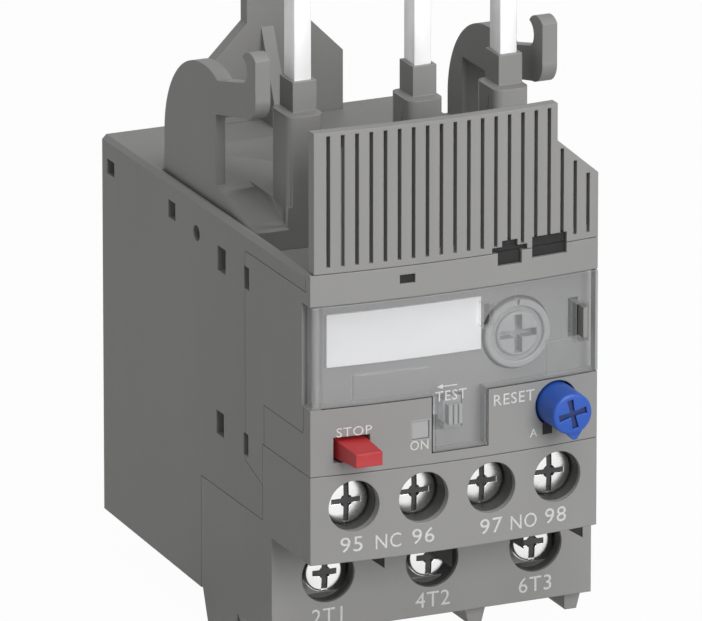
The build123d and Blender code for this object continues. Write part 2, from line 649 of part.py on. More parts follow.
def hook_carrier():
    """Raised deck in the top well, with two hooks and the three conductor columns."""
    carrier_x = (-CARRIER_HALF, CARRIER_HALF)
    with BuildPart() as part:
        block(carrier_x, (WELL_REAR_Y - SEAM_GAP, DECK_FRONT_Y), (WELL_FLOOR_Z, DECK_Z))
        for left in (-CARRIER_HALF, CARRIER_HALF - HOOK_THICK):
            extrude(hook_outline(left), amount=HOOK_THICK)
        for x in BLADE_X:
            with BuildSketch(Plane.XY.offset(WELL_FLOOR_Z)) as column:
                with Locations((x + sum(COLUMN_X) / 2, sum(COLUMN_Y) / 2)):
                    RectangleRounded(COLUMN_X[1] - COLUMN_X[0], COLUMN_Y[0] - COLUMN_Y[1], COLUMN_ROUND)
            extrude(column.sketch, amount=COLUMN_TOP_Z - WELL_FLOOR_Z)
            block(span(x, 2 * COLLAR_HALF), COLLAR_Y, (COLUMN_TOP_Z, COLLAR_TOP_Z))
            hole = BLADE_WIDTH / 2 + BLADE_FIT
            hole_y = (BLADE_FRONT_Y - BLADE_FIT, BLADE_FRONT_Y + BLADE_DEPTH + BLADE_FIT)
            block((x - hole, x + hole), hole_y, (WELL_FLOOR_Z - 1, COLLAR_TOP_Z + 1), Mode.SUBTRACT)
    save(part, "hook_carrier")


def rear_bracket():
    """Gabled tongue behind the conductors, with a gusset and a nose at its top."""
    mid = BRACKET_MID
    low_z, high_z = BRACKET_SHOULDER_Z
    half_outline = [
        (BRACKET_HALF, RIM_Z),
        (BRACKET_HALF, low_z),
        (BRACKET_NECK, high_z),
        (BRACKET_NECK, BRACKET_TOP_Z - 1),
        (BRACKET_NECK - 1, BRACKET_TOP_Z),
    ]
    outline = [(mid - x, z) for x, z in half_outline] + [(mid + x, z) for x, z in reversed(half_outline)]
    with BuildPart() as part:
        with BuildSketch(Plane.XZ.offset(-BRACKET_Y[0])):
            with BuildLine():
                Polyline(*outline, close=True)
            make_face()
        extrude(amount=BRACKET_Y[0] - BRACKET_Y[1])
        front = BRACKET_Y[1]
        gusset_z = high_z - 0.7
        gusset = [(front + 1, RIM_Z), (front + 1, gusset_z), (front, gusset_z), (front - GUSSET_REACH, RIM_Z)]
        side_prism(gusset, span(GUSSET_X, GUSSET_THICK))
        nose_z = BRACKET_TOP_Z - NOSE_HIGH
        tip = (front - NOSE_REACH, (nose_z + BRACKET_TOP_Z) / 2)
        nose = [(front + 1, BRACKET_TOP_Z), (front, BRACKET_TOP_Z), tip, (front, nose_z), (front + 1, nose_z)]
        side_prism(nose, span(mid, NOSE_WIDE))
        key_z = (RIM_Z - KEY_FLOOR + SLOT_FIT, RIM_Z + 1)
        block(span(BRACKET_MID, 2 * BRACKET_KEY_HALF), BRACKET_KEY_Y, key_z)
    save(part, "rear_bracket")


def grille_cover():
    """Ribbed upright plate at the front of the well."""
    base_z = RIM_Z + 0.1
    groove_x = [GROOVE_FIRST_X + k * GROOVE_PITCH for k in range(GROOVE_COUNT)]
    with BuildPart() as part:
        face_prism((0, PLATE_THICK), 0, (MODULE_LEFT + GRILLE_INSET, MODULE_RIGHT), (base_z, GRILLE_TOP_Z))
        # the cut corner at the right
        (cut_x, cut_z), (edge_x, edge_z) = CORNER_CUT
        above_z = GRILLE_TOP_Z + 1
        with BuildSketch(Plane.XZ.offset(-INNER_FACE_Y)):
            with BuildLine():
                Polyline((cut_x, above_z), (cut_x, cut_z), (edge_x, edge_z), (edge_x, above_z), close=True)
            make_face()
        extrude(amount=INNER_FACE_Y - AHEAD_Y, mode=Mode.SUBTRACT)
        # vertical grooves
        for x in groove_x:
            top_z = GRILLE_TOP_Z - 0.5 if x < cut_x else cut_z - 0.5 - (x - cut_x)
            groove_y = (front_y(x, GROOVE_DEEP), AHEAD_Y)
            block(span(x, GROOVE_WIDE), groove_y, (base_z + 0.8, top_z), Mode.SUBTRACT)
        # clip notches, met by the slots in the header
        clip_y = (INNER_FACE_Y, AHEAD_Y)
        for left, right, high in CLIP_NOTCHES:
            block((MODULE_MID + left, MODULE_MID + right), clip_y, (base_z - 1, base_z + high), Mode.SUBTRACT)
        # legs behind the header and stiffening ribs
        leg_y = (HEADER_BACK_Y + SEAM_GAP, HEADER_BACK_Y + LEG_THICK)
        rib_y = HEADER_BACK_Y + RIB_REACH
        for x in LEG_X:
            back = front_y(x, PLATE_THICK / 2)
            block(span(x, LEG_WIDE), (back, leg_y[1]), (base_z, base_z + PLATE_THICK))
            block(span(x, LEG_WIDE), leg_y, (WELL_FLOOR_Z, base_z + PLATE_THICK))
            if x < cut_x:
                root_z = base_z + 1
                rib = [(back, root_z), (rib_y, root_z), (rib_y, base_z + 3.3), (back, GRILLE_TOP_Z - 2.3)]
                side_prism(rib, span(x, 1.2))
    save(part, "grille_cover")


def window_cover():
    """Transparent swing cover with its hinge barrel and the tab over the test slider."""
    with BuildPart() as part:
        face_prism((-0.1, COVER_THICK), 0, (MODULE_LEFT + 0.2, MODULE_RIGHT), (COVER_BOTTOM_Z, COVER_TOP_Z))
        face_prism((-0.1, COVER_THICK), 0, (TAB_LEFT, TAB_RIGHT), (TAB_BOTTOM_Z, COVER_BOTTOM_Z + 1))
        rod_z(HINGE_X, HINGE_Y, (COVER_BOTTOM_Z, COVER_TOP_Z), KNUCKLE_R)
        rod_z(HINGE_X, HINGE_Y, (COVER_BOTTOM_Z - 1, COVER_TOP_Z + 1), PIN_R + PIN_FIT, Mode.SUBTRACT)
        lug_high = LUG_Z[1] - LUG_Z[0] + 2 * LUG_WELL
        lug_slot = (sum(LUG_SLOT_X) / 2, sum(LUG_Z) / 2, LUG_SLOT_X[1] - LUG_SLOT_X[0], lug_high)
        for x, z, wide, high in (lug_slot, COVER_SLOT):
            around(x, z, wide, high, (INNER_FACE_Y, AHEAD_Y))
    save(part, "window_cover")


def cover_pin():
    """Pin that the cover swings on."""
    with BuildPart() as part:
        ends = (COVER_BOTTOM_Z - COVER_GAP - PIN_SEAT, COVER_TOP_Z + COVER_GAP + PIN_SEAT)
        rod_z(HINGE_X, HINGE_Y, ends, PIN_R)
    save(part, "cover_pin")


def label_plate():
    """Bare label on the floor of the recess."""
    with BuildPart() as part:
        face_prism((RECESS_DEPTH - LABEL_THICK, RECESS_DEPTH), 0, LABEL_X, LABEL_Z)
    save(part, "label_plate")


def setting_dial():
    """Round dial with a raised ring and a cross slot, on its shaft."""
    front = DIAL_BACK_Y - DIAL_THICK
    with BuildPart() as part:
        rod_y(DIAL_X, DIAL_Z, (DIAL_BACK_Y - 0.1, front), DIAL_R)
        rod_y(DIAL_X, DIAL_Z, (front + 0.5, front - 1), DIAL_RING_R, Mode.SUBTRACT)
        rod_y(DIAL_X, DIAL_Z, (front + 1, front), DIAL_HUB_R)
        cross_slot(DIAL_X, DIAL_Z, 2 * DIAL_HUB_R - 0.8, front)
        rod_y(DIAL_X, DIAL_Z, (DIAL_TAIL_Y, DIAL_BACK_Y - 0.5), DIAL_SHAFT_R)
    save(part, "setting_dial")


def setting_cam():
    """Eccentric on the inner end of the dial's shaft."""
    with BuildPart() as part:
        rod_y(DIAL_X + CAM_THROW, DIAL_Z, (DIAL_TAIL_Y + 0.1, INNER_FACE_Y + 0.2), CAM_R)
        rod_y(DIAL_X, DIAL_Z, (DIAL_TAIL_Y + 1, AHEAD_Y), DIAL_SHAFT_R, Mode.SUBTRACT)
    save(part, "setting_cam")


def stop_button():
    """Rectangular push button with a flange that keeps it in."""
    with BuildPart() as part:
        stem_y = (FLANGE_BACK_Y, front_y(STOP_X) - STOP_PROUD)
        flange_y = (FLANGE_BACK_Y, INNER_FACE_Y + 0.1)
        block(span(STOP_X, STOP_WIDTH), stem_y, span(STOP_Z, STOP_HEIGHT))
        block(span(STOP_X, STOP_WIDTH + 1.6), flange_y, span(STOP_Z, STOP_HEIGHT + 1.0))
        fillet(part.faces().sort_by(Axis.Y)[0].edges(), 0.35)
    save(part, "stop_button")


def reset_plunger():
    """Plunger behind the reset knob, with a flange and a stub that carries the knob."""
    with BuildPart() as part:
        side = 2 * RESET_STEM_R + 1.6
        block(span(RESET_X, side), (FLANGE_BACK_Y, INNER_FACE_Y + 0.1), span(RESET_Z, side))
        rod_y(RESET_X, RESET_Z, (FLANGE_BACK_Y, RESET_BACK_Y), RESET_STEM_R)
        rod_y(RESET_X, RESET_Z, (FLANGE_BACK_Y, RESET_BACK_Y - STUB_LENGTH), RESET_STUB_R)
    save(part, "reset_plunger")


def reset_knob():
    """Round knob with a cross slot and a pointer."""
    front = front_y(RESET_X) - RESET_PROUD
    with BuildPart() as part:
        rod_y(RESET_X, RESET_Z, (RESET_BACK_Y - 0.05, front), RESET_R)
        fillet(part.faces().sort_by(Axis.Y)[0].edges(), 0.35)
        with BuildSketch(Plane.XZ.offset(-front - 1.4)) as pointer:
            with BuildLine():
                points = [(RESET_X + dx, RESET_Z + dz) for dx, dz in POINTER]
                Polyline(*points, close=True)
            make_face()
        extrude(pointer.sketch, amount=1.1)
        cross_slot(RESET_X, RESET_Z, 2 * RESET_R - 1.8, front)
        stub_y = (RESET_BACK_Y + 1, RESET_BACK_Y - STUB_LENGTH - 0.2)
        rod_y(RESET_X, RESET_Z, stub_y, RESET_STUB_R + THREAD_FIT, Mode.SUBTRACT)
    save(part, "reset_knob")


def test_slider():
    """Small slider behind the cover's tab, with a stem and a flange inside."""
    with BuildPart() as part:
        left, right = TEST_HANDLE_X
        handle_y = (TEST_FLOOR_Y - TEST_EDGE, TEST_FLOOR_Y - 2.0)
        block((left, right), handle_y, (TEST_BOTTOM_Z + TEST_EDGE, TEST_TOP_Z - TEST_EDGE))
        stem_y = (FLANGE_BACK_Y, TEST_FLOOR_Y - 1.0)
        block((left + 0.3, right - 0.3), stem_y, (TEST_BOTTOM_Z + 2 * TEST_EDGE, TEST_STEM_TOP_Z))
        flange_y = (FLANGE_BACK_Y, INNER_FACE_Y + 0.2)
        block((left - 0.4, right + TEST_EDGE), flange_y, (TEST_BOTTOM_Z - 0.5, TEST_STEM_TOP_Z + 0.9))
    save(part, "test_slider")


def test_marker():
    """Pale marker plate beside the test slider."""
    with BuildPart() as part:
        block(MARKER_X, (TEST_FLOOR_Y + MARKER_THICK, TEST_FLOOR_Y), MARKER_Z)
    save(part, "test_marker")


def inner_partition():
    """Wall behind the controls, with a seat for each return spring."""
    with BuildPart() as part:
        plate_x = span(0, 2 * (HALF - WALL - SLOT_FIT))
        plate_z = (CONTROL_Z + CONTROL_FLOOR + SLOT_FIT, WELL_FLOOR_Z - WALL - SLOT_FIT)
        block(plate_x, (PARTITION_REAR_Y, PARTITION_FRONT_Y), plate_z)
        for x, z in ((STOP_X, STOP_Z), (RESET_X, RESET_Z)):
            rod_y(x, z, (PARTITION_REAR_Y, SPRING_SEAT_Y), SEAT_R)
            rod_y(x, z, (PARTITION_REAR_Y, FLANGE_BACK_Y + SPRING_PIN_GAP), SPRING_PIN_R)
        shaft_y = (PARTITION_REAR_Y + 1, PARTITION_FRONT_Y - 1)
        rod_y(LEVER_X, LEVER_Z, shaft_y, LEVER_SHAFT_R + THREAD_FIT, Mode.SUBTRACT)
    save(part, "inner_partition")


def return_spring(x, z, name):
    """Compression spring between a flange and its seat."""
    length = SPRING_SEAT_Y - FLANGE_BACK_Y - 2 * SPRING_WIRE_R
    start = (x, SPRING_SEAT_Y - SPRING_WIRE_R, z)
    with BuildPart() as part:
        with BuildLine() as path:
            Helix(length / SPRING_TURNS, length, SPRING_R, center=start, direction=(0, -1, 0))
        with BuildSketch(Plane(origin=path.line @ 0, z_dir=path.line % 0)):
            RegularPolygon(SPRING_WIRE_R, 6)
        sweep()
    save(part, name)


def conductor_bar(k):
    """Bare bar that stands out of the top for one pole."""
    x = BLADE_X[k]
    with BuildPart() as part:
        bar_y = (BLADE_FRONT_Y, BLADE_FRONT_Y + BLADE_DEPTH)
        block(span(x, BLADE_WIDTH), bar_y, (BLADE_BOTTOM_Z, BLADE_TOP_Z))
        chamfer(part.faces().sort_by(Axis.Z)[-1].edges(), 0.6)
    save(part, f"conductor_bar_{k + 1}")


def bimetal_strip(k):
    """Strip that bends when its heater is hot."""
    with BuildPart() as part:
        block(span(BLADE_X[k], 0.8), STRIP_Y, (STRIP_BOTTOM_Z, STRIP_TOP_Z))
    save(part, f"bimetal_strip_{k + 1}")


def heater_winding(k):
    """Ribbon loops around one strip, joined by a spine, with a lead to the terminal bar."""
    x = BLADE_X[k]
    rear, front = STRIP_Y[0] + 1.0, STRIP_Y[1] - 1.0
    with BuildPart() as part:
        for turn in range(HEATER_TURNS):
            z = HEATER_BOTTOM_Z + turn * HEATER_PITCH
            block(span(x, HEATER_WIDE), (rear, front), (z, z + HEATER_RIBBON))
        hollow_y = (STRIP_Y[0] + HEATER_CLEAR, STRIP_Y[1] - HEATER_CLEAR)
        hollow_z = (HEATER_BOTTOM_Z - 1, BLADE_BOTTOM_Z)
        block(span(x, HEATER_WIDE - 2 * HEATER_LAYER), hollow_y, hollow_z, Mode.SUBTRACT)
        top = HEATER_BOTTOM_Z + (HEATER_TURNS - 1) * HEATER_PITCH + HEATER_RIBBON
        block(span(x, 1.2), (rear, rear - 0.5), (HEATER_BOTTOM_Z, top))
        block(span(x, 1.6), (front, BAR_RISER_Y[0]), (HEATER_BOTTOM_Z, HEATER_BOTTOM_Z + HEATER_RIBBON))
        block(span(x, 1.6), (front, front + 0.5), (top - HEATER_RIBBON, BLADE_BOTTOM_Z))
    save(part, f"heater_winding_{k + 1}")


def terminal_bar(k):
    """Bar from one heater down to its screw terminal."""
    x, bottom = BLADE_X[k], TERMINAL_X[k]
    arm_x = (min(bottom - TONGUE_HALF, x - BAR_WIDE / 2), max(bottom + TONGUE_HALF, x + BAR_WIDE / 2))
    with BuildPart() as part:
        block(span(bottom, 2 * TONGUE_HALF), TONGUE_Y, (TONGUE_BOTTOM_Z, BAR_ARM_Z[1]))
        block(arm_x, (BAR_RISER_Y[0], TONGUE_Y[1]), BAR_ARM_Z)
        block(span(x, BAR_WIDE), BAR_RISER_Y, (BAR_ARM_Z[0], HEATER_BOTTOM_Z + 2.0))
    save(part, f"terminal_bar_{k + 1}")


def box_clamp(k):
    """Square loop that pulls the wire against the bar."""
    x = TERMINAL_X[k]
    with BuildPart() as part:
        block(span(x, 2 * CLAMP_HALF), CLAMP_Y, CLAMP_Z)
        hollow_y = (CLAMP_Y[0] - CLAMP_BACK, CLAMP_Y[1] + CLAMP_FRONT)
        hollow_z = (CLAMP_Z[0] - 1, CLAMP_Z[1] + 1)
        block(span(x, 2 * (CLAMP_HALF - CLAMP_SIDE)), hollow_y, hollow_z, Mode.SUBTRACT)
        thread_y = (hollow_y[1] + 1, CLAMP_Y[1] - 1)
        rod_y(x, TERMINAL_Z, thread_y, MAIN_SHANK_R + THREAD_FIT, Mode.SUBTRACT)
    save(part, f"box_clamp_{k + 1}")


def screw(x, z, ends, radii, name):
    """Cheese-head screw with a cross and a straight slot."""
    head_front_y, tip_y = ends
    head_r, shank_r = radii
    head_back = head_front_y + HEAD_HIGH
    with BuildPart() as part:
        rod_y(x, z, (head_back, head_front_y), head_r)
        chamfer(part.faces().sort_by(Axis.Y)[0].edges(), HEAD_BEVEL)
        rod_y(x, z, (tip_y, head_back), shank_r)
        around(x, z, SLOT_WIDE, 2 * head_r + 1, (head_front_y + SLOT_DEEP, head_front_y - 1))
        around(x, z, 1.3 * head_r, SLOT_WIDE, (head_front_y + CROSS_DEEP, head_front_y - 1))
    save(part, name)


def aux_clamp(k):
    """Square washer under one auxiliary screw."""
    x = AUX_X[k]
    with BuildPart() as part:
        block(span(x, WASHER_WIDE), WASHER_Y, span(AUX_Z, WASHER_HIGH))
        chamfer(part.edges().filter_by(Axis.Y), 0.8)
        rod_y(x, AUX_Z, (WASHER_Y[0] + 1, WASHER_Y[1] - 1), AUX_SHANK_R + THREAD_FIT, Mode.SUBTRACT)
    save(part, f"aux_clamp_{k + 1}")


def aux_terminal(k):
    """Threaded plate with the strap that rises to the contacts."""
    x, strap = AUX_X[k], STRAP_X[k]
    with BuildPart() as part:
        block(span(x, 2 * AUX_POCKET_HALF - 0.1), STRAP_Y, AUX_PLATE_Z)
        block(span(strap, STRAP_WIDE), STRAP_Y, (AUX_PLATE_Z[1] - 0.5, STRAP_TOP_Z[k]))
        rod_y(x, AUX_Z, (STRAP_Y[0] + 1, STRAP_Y[1] - 1), AUX_SHANK_R + THREAD_FIT, Mode.SUBTRACT)
        if k in (1, 2):
            side = -1 if k == 1 else 1
            end = FIXED_TIP_X[k - 1]
            block((strap, end), STRAP_Y, (STRAP_TOP_Z[k] - STRAP_WIDE, STRAP_TOP_Z[k]))
            rod_x(sum(STRAP_Y) / 2, CONTACT_Z, (end, end + side * 0.6), CONTACT_R)
    save(part, f"aux_terminal_{k + 1}")


def contact_leaf(x, side, name):
    """Springy leaf with its contact button, which the carrier pushes."""
    with BuildPart() as part:
        block(span(x, LEAF_THICK), STRAP_Y, (LEAF_BOTTOM_Z, LEAF_TOP_Z))
        button_x = (x + side * LEAF_THICK / 2, x + side * BUTTON_REACH)
        rod_x(sum(STRAP_Y) / 2, CONTACT_Z, button_x, CONTACT_R)
    save(part, name)


def trip_slider():
    """Bar across the three poles, with a finger beside each strip."""
    with BuildPart() as part:
        block(SLIDER_X, SLIDER_Y, SLIDER_Z)
        nose_y = (REAR_ARM_Y[0] - 0.1, REAR_ARM_Y[1] + 0.1)
        reach_x = LEVER_X - REAR_ARM_SHIFT - LEVER_WIDE / 2 - LEVER_FIT
        block((SLIDER_X[1] - 1, reach_x), nose_y, PUSH_Z)
        # the bar goes on in front of the arm, to the last finger
        block((SLIDER_X[1] - 1, BLADE_X[-1] + FINGER_X[1]), (REAR_ARM_Y[1] - 0.1, SLIDER_Y[1]), SLIDER_Z)
        for x in BLADE_X:
            finger_x = (x + FINGER_X[0], x + FINGER_X[1])
            block(finger_x, (SLIDER_Y[1] + 0.3, STRIP_Y[0] - FINGER_REACH), SLIDER_Z)
    save(part, "trip_slider")


def trip_lever():
    """Shaft with a rear arm at the slider and a front arm at the contact carrier."""
    with BuildPart() as part:
        rod_y(LEVER_X, LEVER_Z, (REAR_ARM_Y[0] + 1.4, FRONT_ARM_Y[1] - 0.2), LEVER_SHAFT_R)
        block(span(LEVER_X - REAR_ARM_SHIFT, LEVER_WIDE), REAR_ARM_Y, (PUSH_Z[0], LEVER_Z))
        block(span(LEVER_X, LEVER_WIDE), FRONT_ARM_Y, (LEVER_Z, CARRIER_MID_Z + 0.2))
        for arm_y in (REAR_ARM_Y, FRONT_ARM_Y):
            rod_y(LEVER_X, LEVER_Z, arm_y, LEVER_BOSS_R)
    save(part, "trip_lever")


def contact_carrier():
    """Sliding bar whose fingers push the two contact leaves."""
    with BuildPart() as part:
        bar_z = span(CARRIER_MID_Z, CARRIER_HIGH)
        end = CARRIER_X[1]
        nose_y = (FRONT_ARM_Y[0] - 0.1, FRONT_ARM_Y[1])
        block(CARRIER_X, CARRIER_Y, bar_z)
        block((end - 2, end), (nose_y[0], CARRIER_Y[0] - 0.1), bar_z)
        block((end - 0.2, LEVER_X - LEVER_WIDE / 2 - LEVER_FIT), nose_y, bar_z)
        for x in LEAF_X:
            finger_x = (x + LEAF_THICK / 2 + 0.6, x + LEAF_THICK / 2 + 1.4)
            block(finger_x, (CARRIER_Y[0], STRAP_Y[1]), (LEAF_TOP_Z - 0.9, CARRIER_MID_Z - 0.5))
        block(FLAG_ARM_X, (CARRIER_Y[1] + 0.8, FLAG_Y[1]), bar_z)
    save(part, "contact_carrier")


def trip_flag():
    """Flag that shows in the small square window."""
    with BuildPart() as part:
        flag_z = (FLAG_Z - 1.6, FLAG_Z + 1.8)
        block((FLAG_ARM_X[0], FLAG_X + FLAG_END), FLAG_Y, flag_z)
        block(FLAG_ARM_X, FLAG_Y, (flag_z[1] - 0.4, CARRIER_MID_Z - CARRIER_HIGH / 2))
    save(part, "trip_flag")


def flag_window():
    """Clear pane that closes the small square window."""
    side = FLAG_WINDOW - 2 * PANE_FIT
    front = front_y(FLAG_X)
    with BuildPart() as part:
        block(span(FLAG_X, side), (front + 0.1 + PANE_THICK, front + 0.1), span(FLAG_Z, side))
    save(part, "flag_window")


def main():
    """Make every piece."""
    os.makedirs("parts", exist_ok=True)
    base_housing()
    control_housing()
    terminal_housing()
    hook_carrier()
    rear_bracket()
    grille_cover()
    window_cover()
    cover_pin()
    label_plate()
    setting_dial()
    setting_cam()
    stop_button()
    reset_plunger()
    reset_knob()
    test_slider()
    test_marker()
    inner_partition()
    return_spring(STOP_X, STOP_Z, "stop_spring")
    return_spring(RESET_X, RESET_Z, "reset_spring")
    for k in range(3):
        conductor_bar(k)
        bimetal_strip(k)
        heater_winding(k)
        terminal_bar(k)
        box_clamp(k)
        main_y = (MAIN_HEAD_Y, TONGUE_Y[1] - THREAD_FIT)
        screw(TERMINAL_X[k], TERMINAL_Z, main_y, (MAIN_HEAD_R, MAIN_SHANK_R), f"main_screw_{k + 1}")
    for k in range(4):
        aux_terminal(k)
        aux_clamp(k)
        aux_y = (AUX_HEAD_Y, STRAP_Y[0] + 0.6)
        screw(AUX_X[k], AUX_Z, aux_y, (AUX_HEAD_R, AUX_SHANK_R), f"aux_screw_{k + 1}")
    contact_leaf(LEAF_X[0], 1, "break_contact_leaf")
    contact_leaf(LEAF_X[1], -1, "make_contact_leaf")
    trip_slider()
    trip_lever()
    contact_carrier()
    trip_flag()
    flag_window()


if __name__ == "__main__":
    main()
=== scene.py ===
"""Looks of a thermal overload relay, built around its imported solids.

Meshes are built in millimetres in the relay's own frame (+X right, +Y to the rear, +Z up) and are
scaled to metres when they are put in place.
"""

import json
import logging
import math
from dataclasses import dataclass, field
from enum import Enum
from typing import Iterable, Sequence

import bmesh
import bpy
from mathutils import Matrix, Vector


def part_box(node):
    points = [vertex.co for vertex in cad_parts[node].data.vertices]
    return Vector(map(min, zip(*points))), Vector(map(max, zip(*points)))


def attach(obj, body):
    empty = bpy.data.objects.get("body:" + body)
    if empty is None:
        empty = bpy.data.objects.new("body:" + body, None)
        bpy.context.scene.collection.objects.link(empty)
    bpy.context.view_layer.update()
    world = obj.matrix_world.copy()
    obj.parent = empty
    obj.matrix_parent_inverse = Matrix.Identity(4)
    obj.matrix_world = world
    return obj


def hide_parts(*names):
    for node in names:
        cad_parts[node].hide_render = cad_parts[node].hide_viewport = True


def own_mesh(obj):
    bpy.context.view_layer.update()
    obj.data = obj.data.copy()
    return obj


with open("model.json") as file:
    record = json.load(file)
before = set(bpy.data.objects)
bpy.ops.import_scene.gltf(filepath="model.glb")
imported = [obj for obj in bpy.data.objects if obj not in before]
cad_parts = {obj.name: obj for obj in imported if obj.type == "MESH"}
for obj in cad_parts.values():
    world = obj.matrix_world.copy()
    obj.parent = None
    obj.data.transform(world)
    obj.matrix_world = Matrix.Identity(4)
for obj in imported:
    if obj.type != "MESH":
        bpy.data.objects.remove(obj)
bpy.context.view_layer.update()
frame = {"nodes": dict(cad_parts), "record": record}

log = logging.getLogger("relay")

MM = 0.001
Point = tuple[float, float, float]
Colour = tuple[float, float, float]

# Photograph: width in pixels, and the camera that fits it
PHOTO_WIDTH = 702
PIXELS_PER_MM = 7.759
CAMERA_DISTANCE = 1733.4
CAMERA_AZIMUTH = math.radians(24.227)
CAMERA_ELEVATION = math.radians(17.949)
CAMERA_SHIFT = (-2.521, 5.127)
CAMERA_AIM = (0.0, -35.0, 34.5)
SENSOR = 36.0

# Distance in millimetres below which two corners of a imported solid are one
WELD = 0.001

# Front module: a convex face over the module's width
MODULE_WIDTH = 40.0
MODULE_SAG = 1.2
MODULE_CORNER_Y = -66.3

# How far the cover stands in front of the panel
COVER_PROUD = 0.1

# Flat face of the lower block
LOW_FACE_Y = -54.2


class Slot(Enum):
    """Material slots of the record."""

    DARK_MOULDING = "dark_moulding"
    MOULDING = "moulding"
    CLEAR_COVER = "clear_cover"
    LABEL = "label_white"
    DIAL = "dial_grey"
    STOP = "stop_red"
    RESET = "reset_blue"
    INNER_BLACK = "inner_black"
    INNER_WHITE = "inner_white"
    STEEL = "steel"
    SCREW = "screw_chrome"
    SILVER = "silver_bar"
    HEATER = "heater_alloy"
    BRASS = "contact_brass"


@dataclass
class NodeGraph:
    """Node tree of one material.

    Attributes:
        name: Name of the material.
        material: The material that the tree belongs to.
    """

    name: str
    material: bpy.types.Material = field(init=False)

    def __post_init__(self) -> None:
        """Makes an empty node tree."""
        self.material = bpy.data.materials.new(self.name)
        self.material.use_nodes = True
        self.material.node_tree.nodes.clear()

    def add(self, kind: str, settings: dict | None = None, **inputs: object) -> bpy.types.Node:
        """Adds a node.

        Args:
            kind: Blender's name of the node, without "ShaderNode".
            settings: Values of the node's own properties.
            **inputs: Values or sockets for its inputs, with "_" for a space in a name.

        Returns:
            The new node.
        """
        node = self.material.node_tree.nodes.new("ShaderNode" + kind)
        for key, value in (settings or {}).items():
            setattr(node, key, value)
        for key, value in inputs.items():
            label = key.replace("_", " ")
            numbered = label[0] == "i" and label[1:].isdigit()
            socket = node.inputs[int(label[1:]) if numbered else label]
            if isinstance(value, bpy.types.NodeSocket):
                self.material.node_tree.links.new(value, socket)
            else:
                socket.default_value = value
        return node

    def place(self) -> bpy.types.NodeSocket:
        """Place in the object's own coordinates, in metres."""
        return self.add("TexCoord").outputs["Object"]

    def noise(self, scale: float, detail: float = 2.0,
              stretch: Point = (1.0, 1.0, 1.0)) -> bpy.types.NodeSocket:
        """Adds a noise texture.

        Args:
            scale: Cycles per metre.
            detail: Number of finer layers.
            stretch: Scale along each axis.

        Returns:
            The noise value, about 0.5 in the mean.
        """
        mapped = self.add("Mapping", Vector=self.place(), Scale=stretch)
        noise = self.add("TexNoise", Vector=mapped.outputs[0], Scale=scale, Detail=detail)
        return noise.outputs[0]

    def span(self, value: bpy.types.NodeSocket, low: float, high: float,
             to: tuple[float, float]) -> bpy.types.NodeSocket:
        """Maps a value from one range to another, clamped.

        Args:
            value: Socket to map.
            low: Start of its range.
            high: End of its range.
            to: New range.

        Returns:
            The mapped value.
        """
        node = self.add("MapRange", i0=value, i1=low, i2=high, i3=to[0], i4=to[1])
        return node.outputs[0]

    def rounding(self, radius: float) -> tuple[bpy.types.NodeSocket, bpy.types.NodeSocket]:
        """Adds rounded edges to the shading.

        Args:
            radius: Radius of the rounding in metres.

        Returns:
            The rounded normal, and a mask that is 1 on the edges.
        """
        bevel = self.add("Bevel", {"samples": 6}, Radius=radius)
        flat = self.add("NewGeometry").outputs["Normal"]
        dot = self.add("VectorMath", {"operation": "DOT_PRODUCT"}, i0=bevel.outputs[0], i1=flat)
        mask = self.span(dot.outputs["Value"], 0.995, 0.8, (0.0, 1.0))
        return bevel.outputs[0], mask

    def tint(self, colour: Colour, factor: bpy.types.NodeSocket) -> bpy.types.NodeSocket:
        """Multiplies a colour by a value.

        Args:
            colour: Plain colour.
            factor: Value that brightens or darkens it.

        Returns:
            The tinted colour.
        """
        scale = self.add("VectorMath", {"operation": "SCALE"}, i0=colour)
        self.material.node_tree.links.new(factor, scale.inputs["Scale"])
        return scale.outputs[0]

    def blend(self, factor: bpy.types.NodeSocket, low: object, high: object) -> bpy.types.NodeSocket:
        """Mixes two colours.

        Args:
            factor: 0 gives low and 1 gives high.
            low: Colour or socket.
            high: Colour or socket.

        Returns:
            The mixed colour.
        """
        node = self.add("Mix", {"data_type": "RGBA"})
        for index, value in ((0, factor), (6, low), (7, high)):
            if isinstance(value, bpy.types.NodeSocket):
                self.material.node_tree.links.new(value, node.inputs[index])
            else:
                node.inputs[index].default_value = (*value, 1.0)
        return node.outputs[2]

    def bump(self, height: bpy.types.NodeSocket, depth: float,
             normal: bpy.types.NodeSocket) -> bpy.types.NodeSocket:
        """Adds bump.

        Args:
            height: Height from 0 to 1.
            depth: Depth in metres of a height of 1.
            normal: Normal that it starts from.

        Returns:
            The bumped normal.
        """
        node = self.add("Bump", Height=height, Distance=depth, Normal=normal)
        return node.outputs[0]

    def close(self, shader: bpy.types.NodeSocket) -> bpy.types.Material:
        """Joins the last shader to the output and returns the material."""
        self.add("OutputMaterial", Surface=shader)
        return self.material


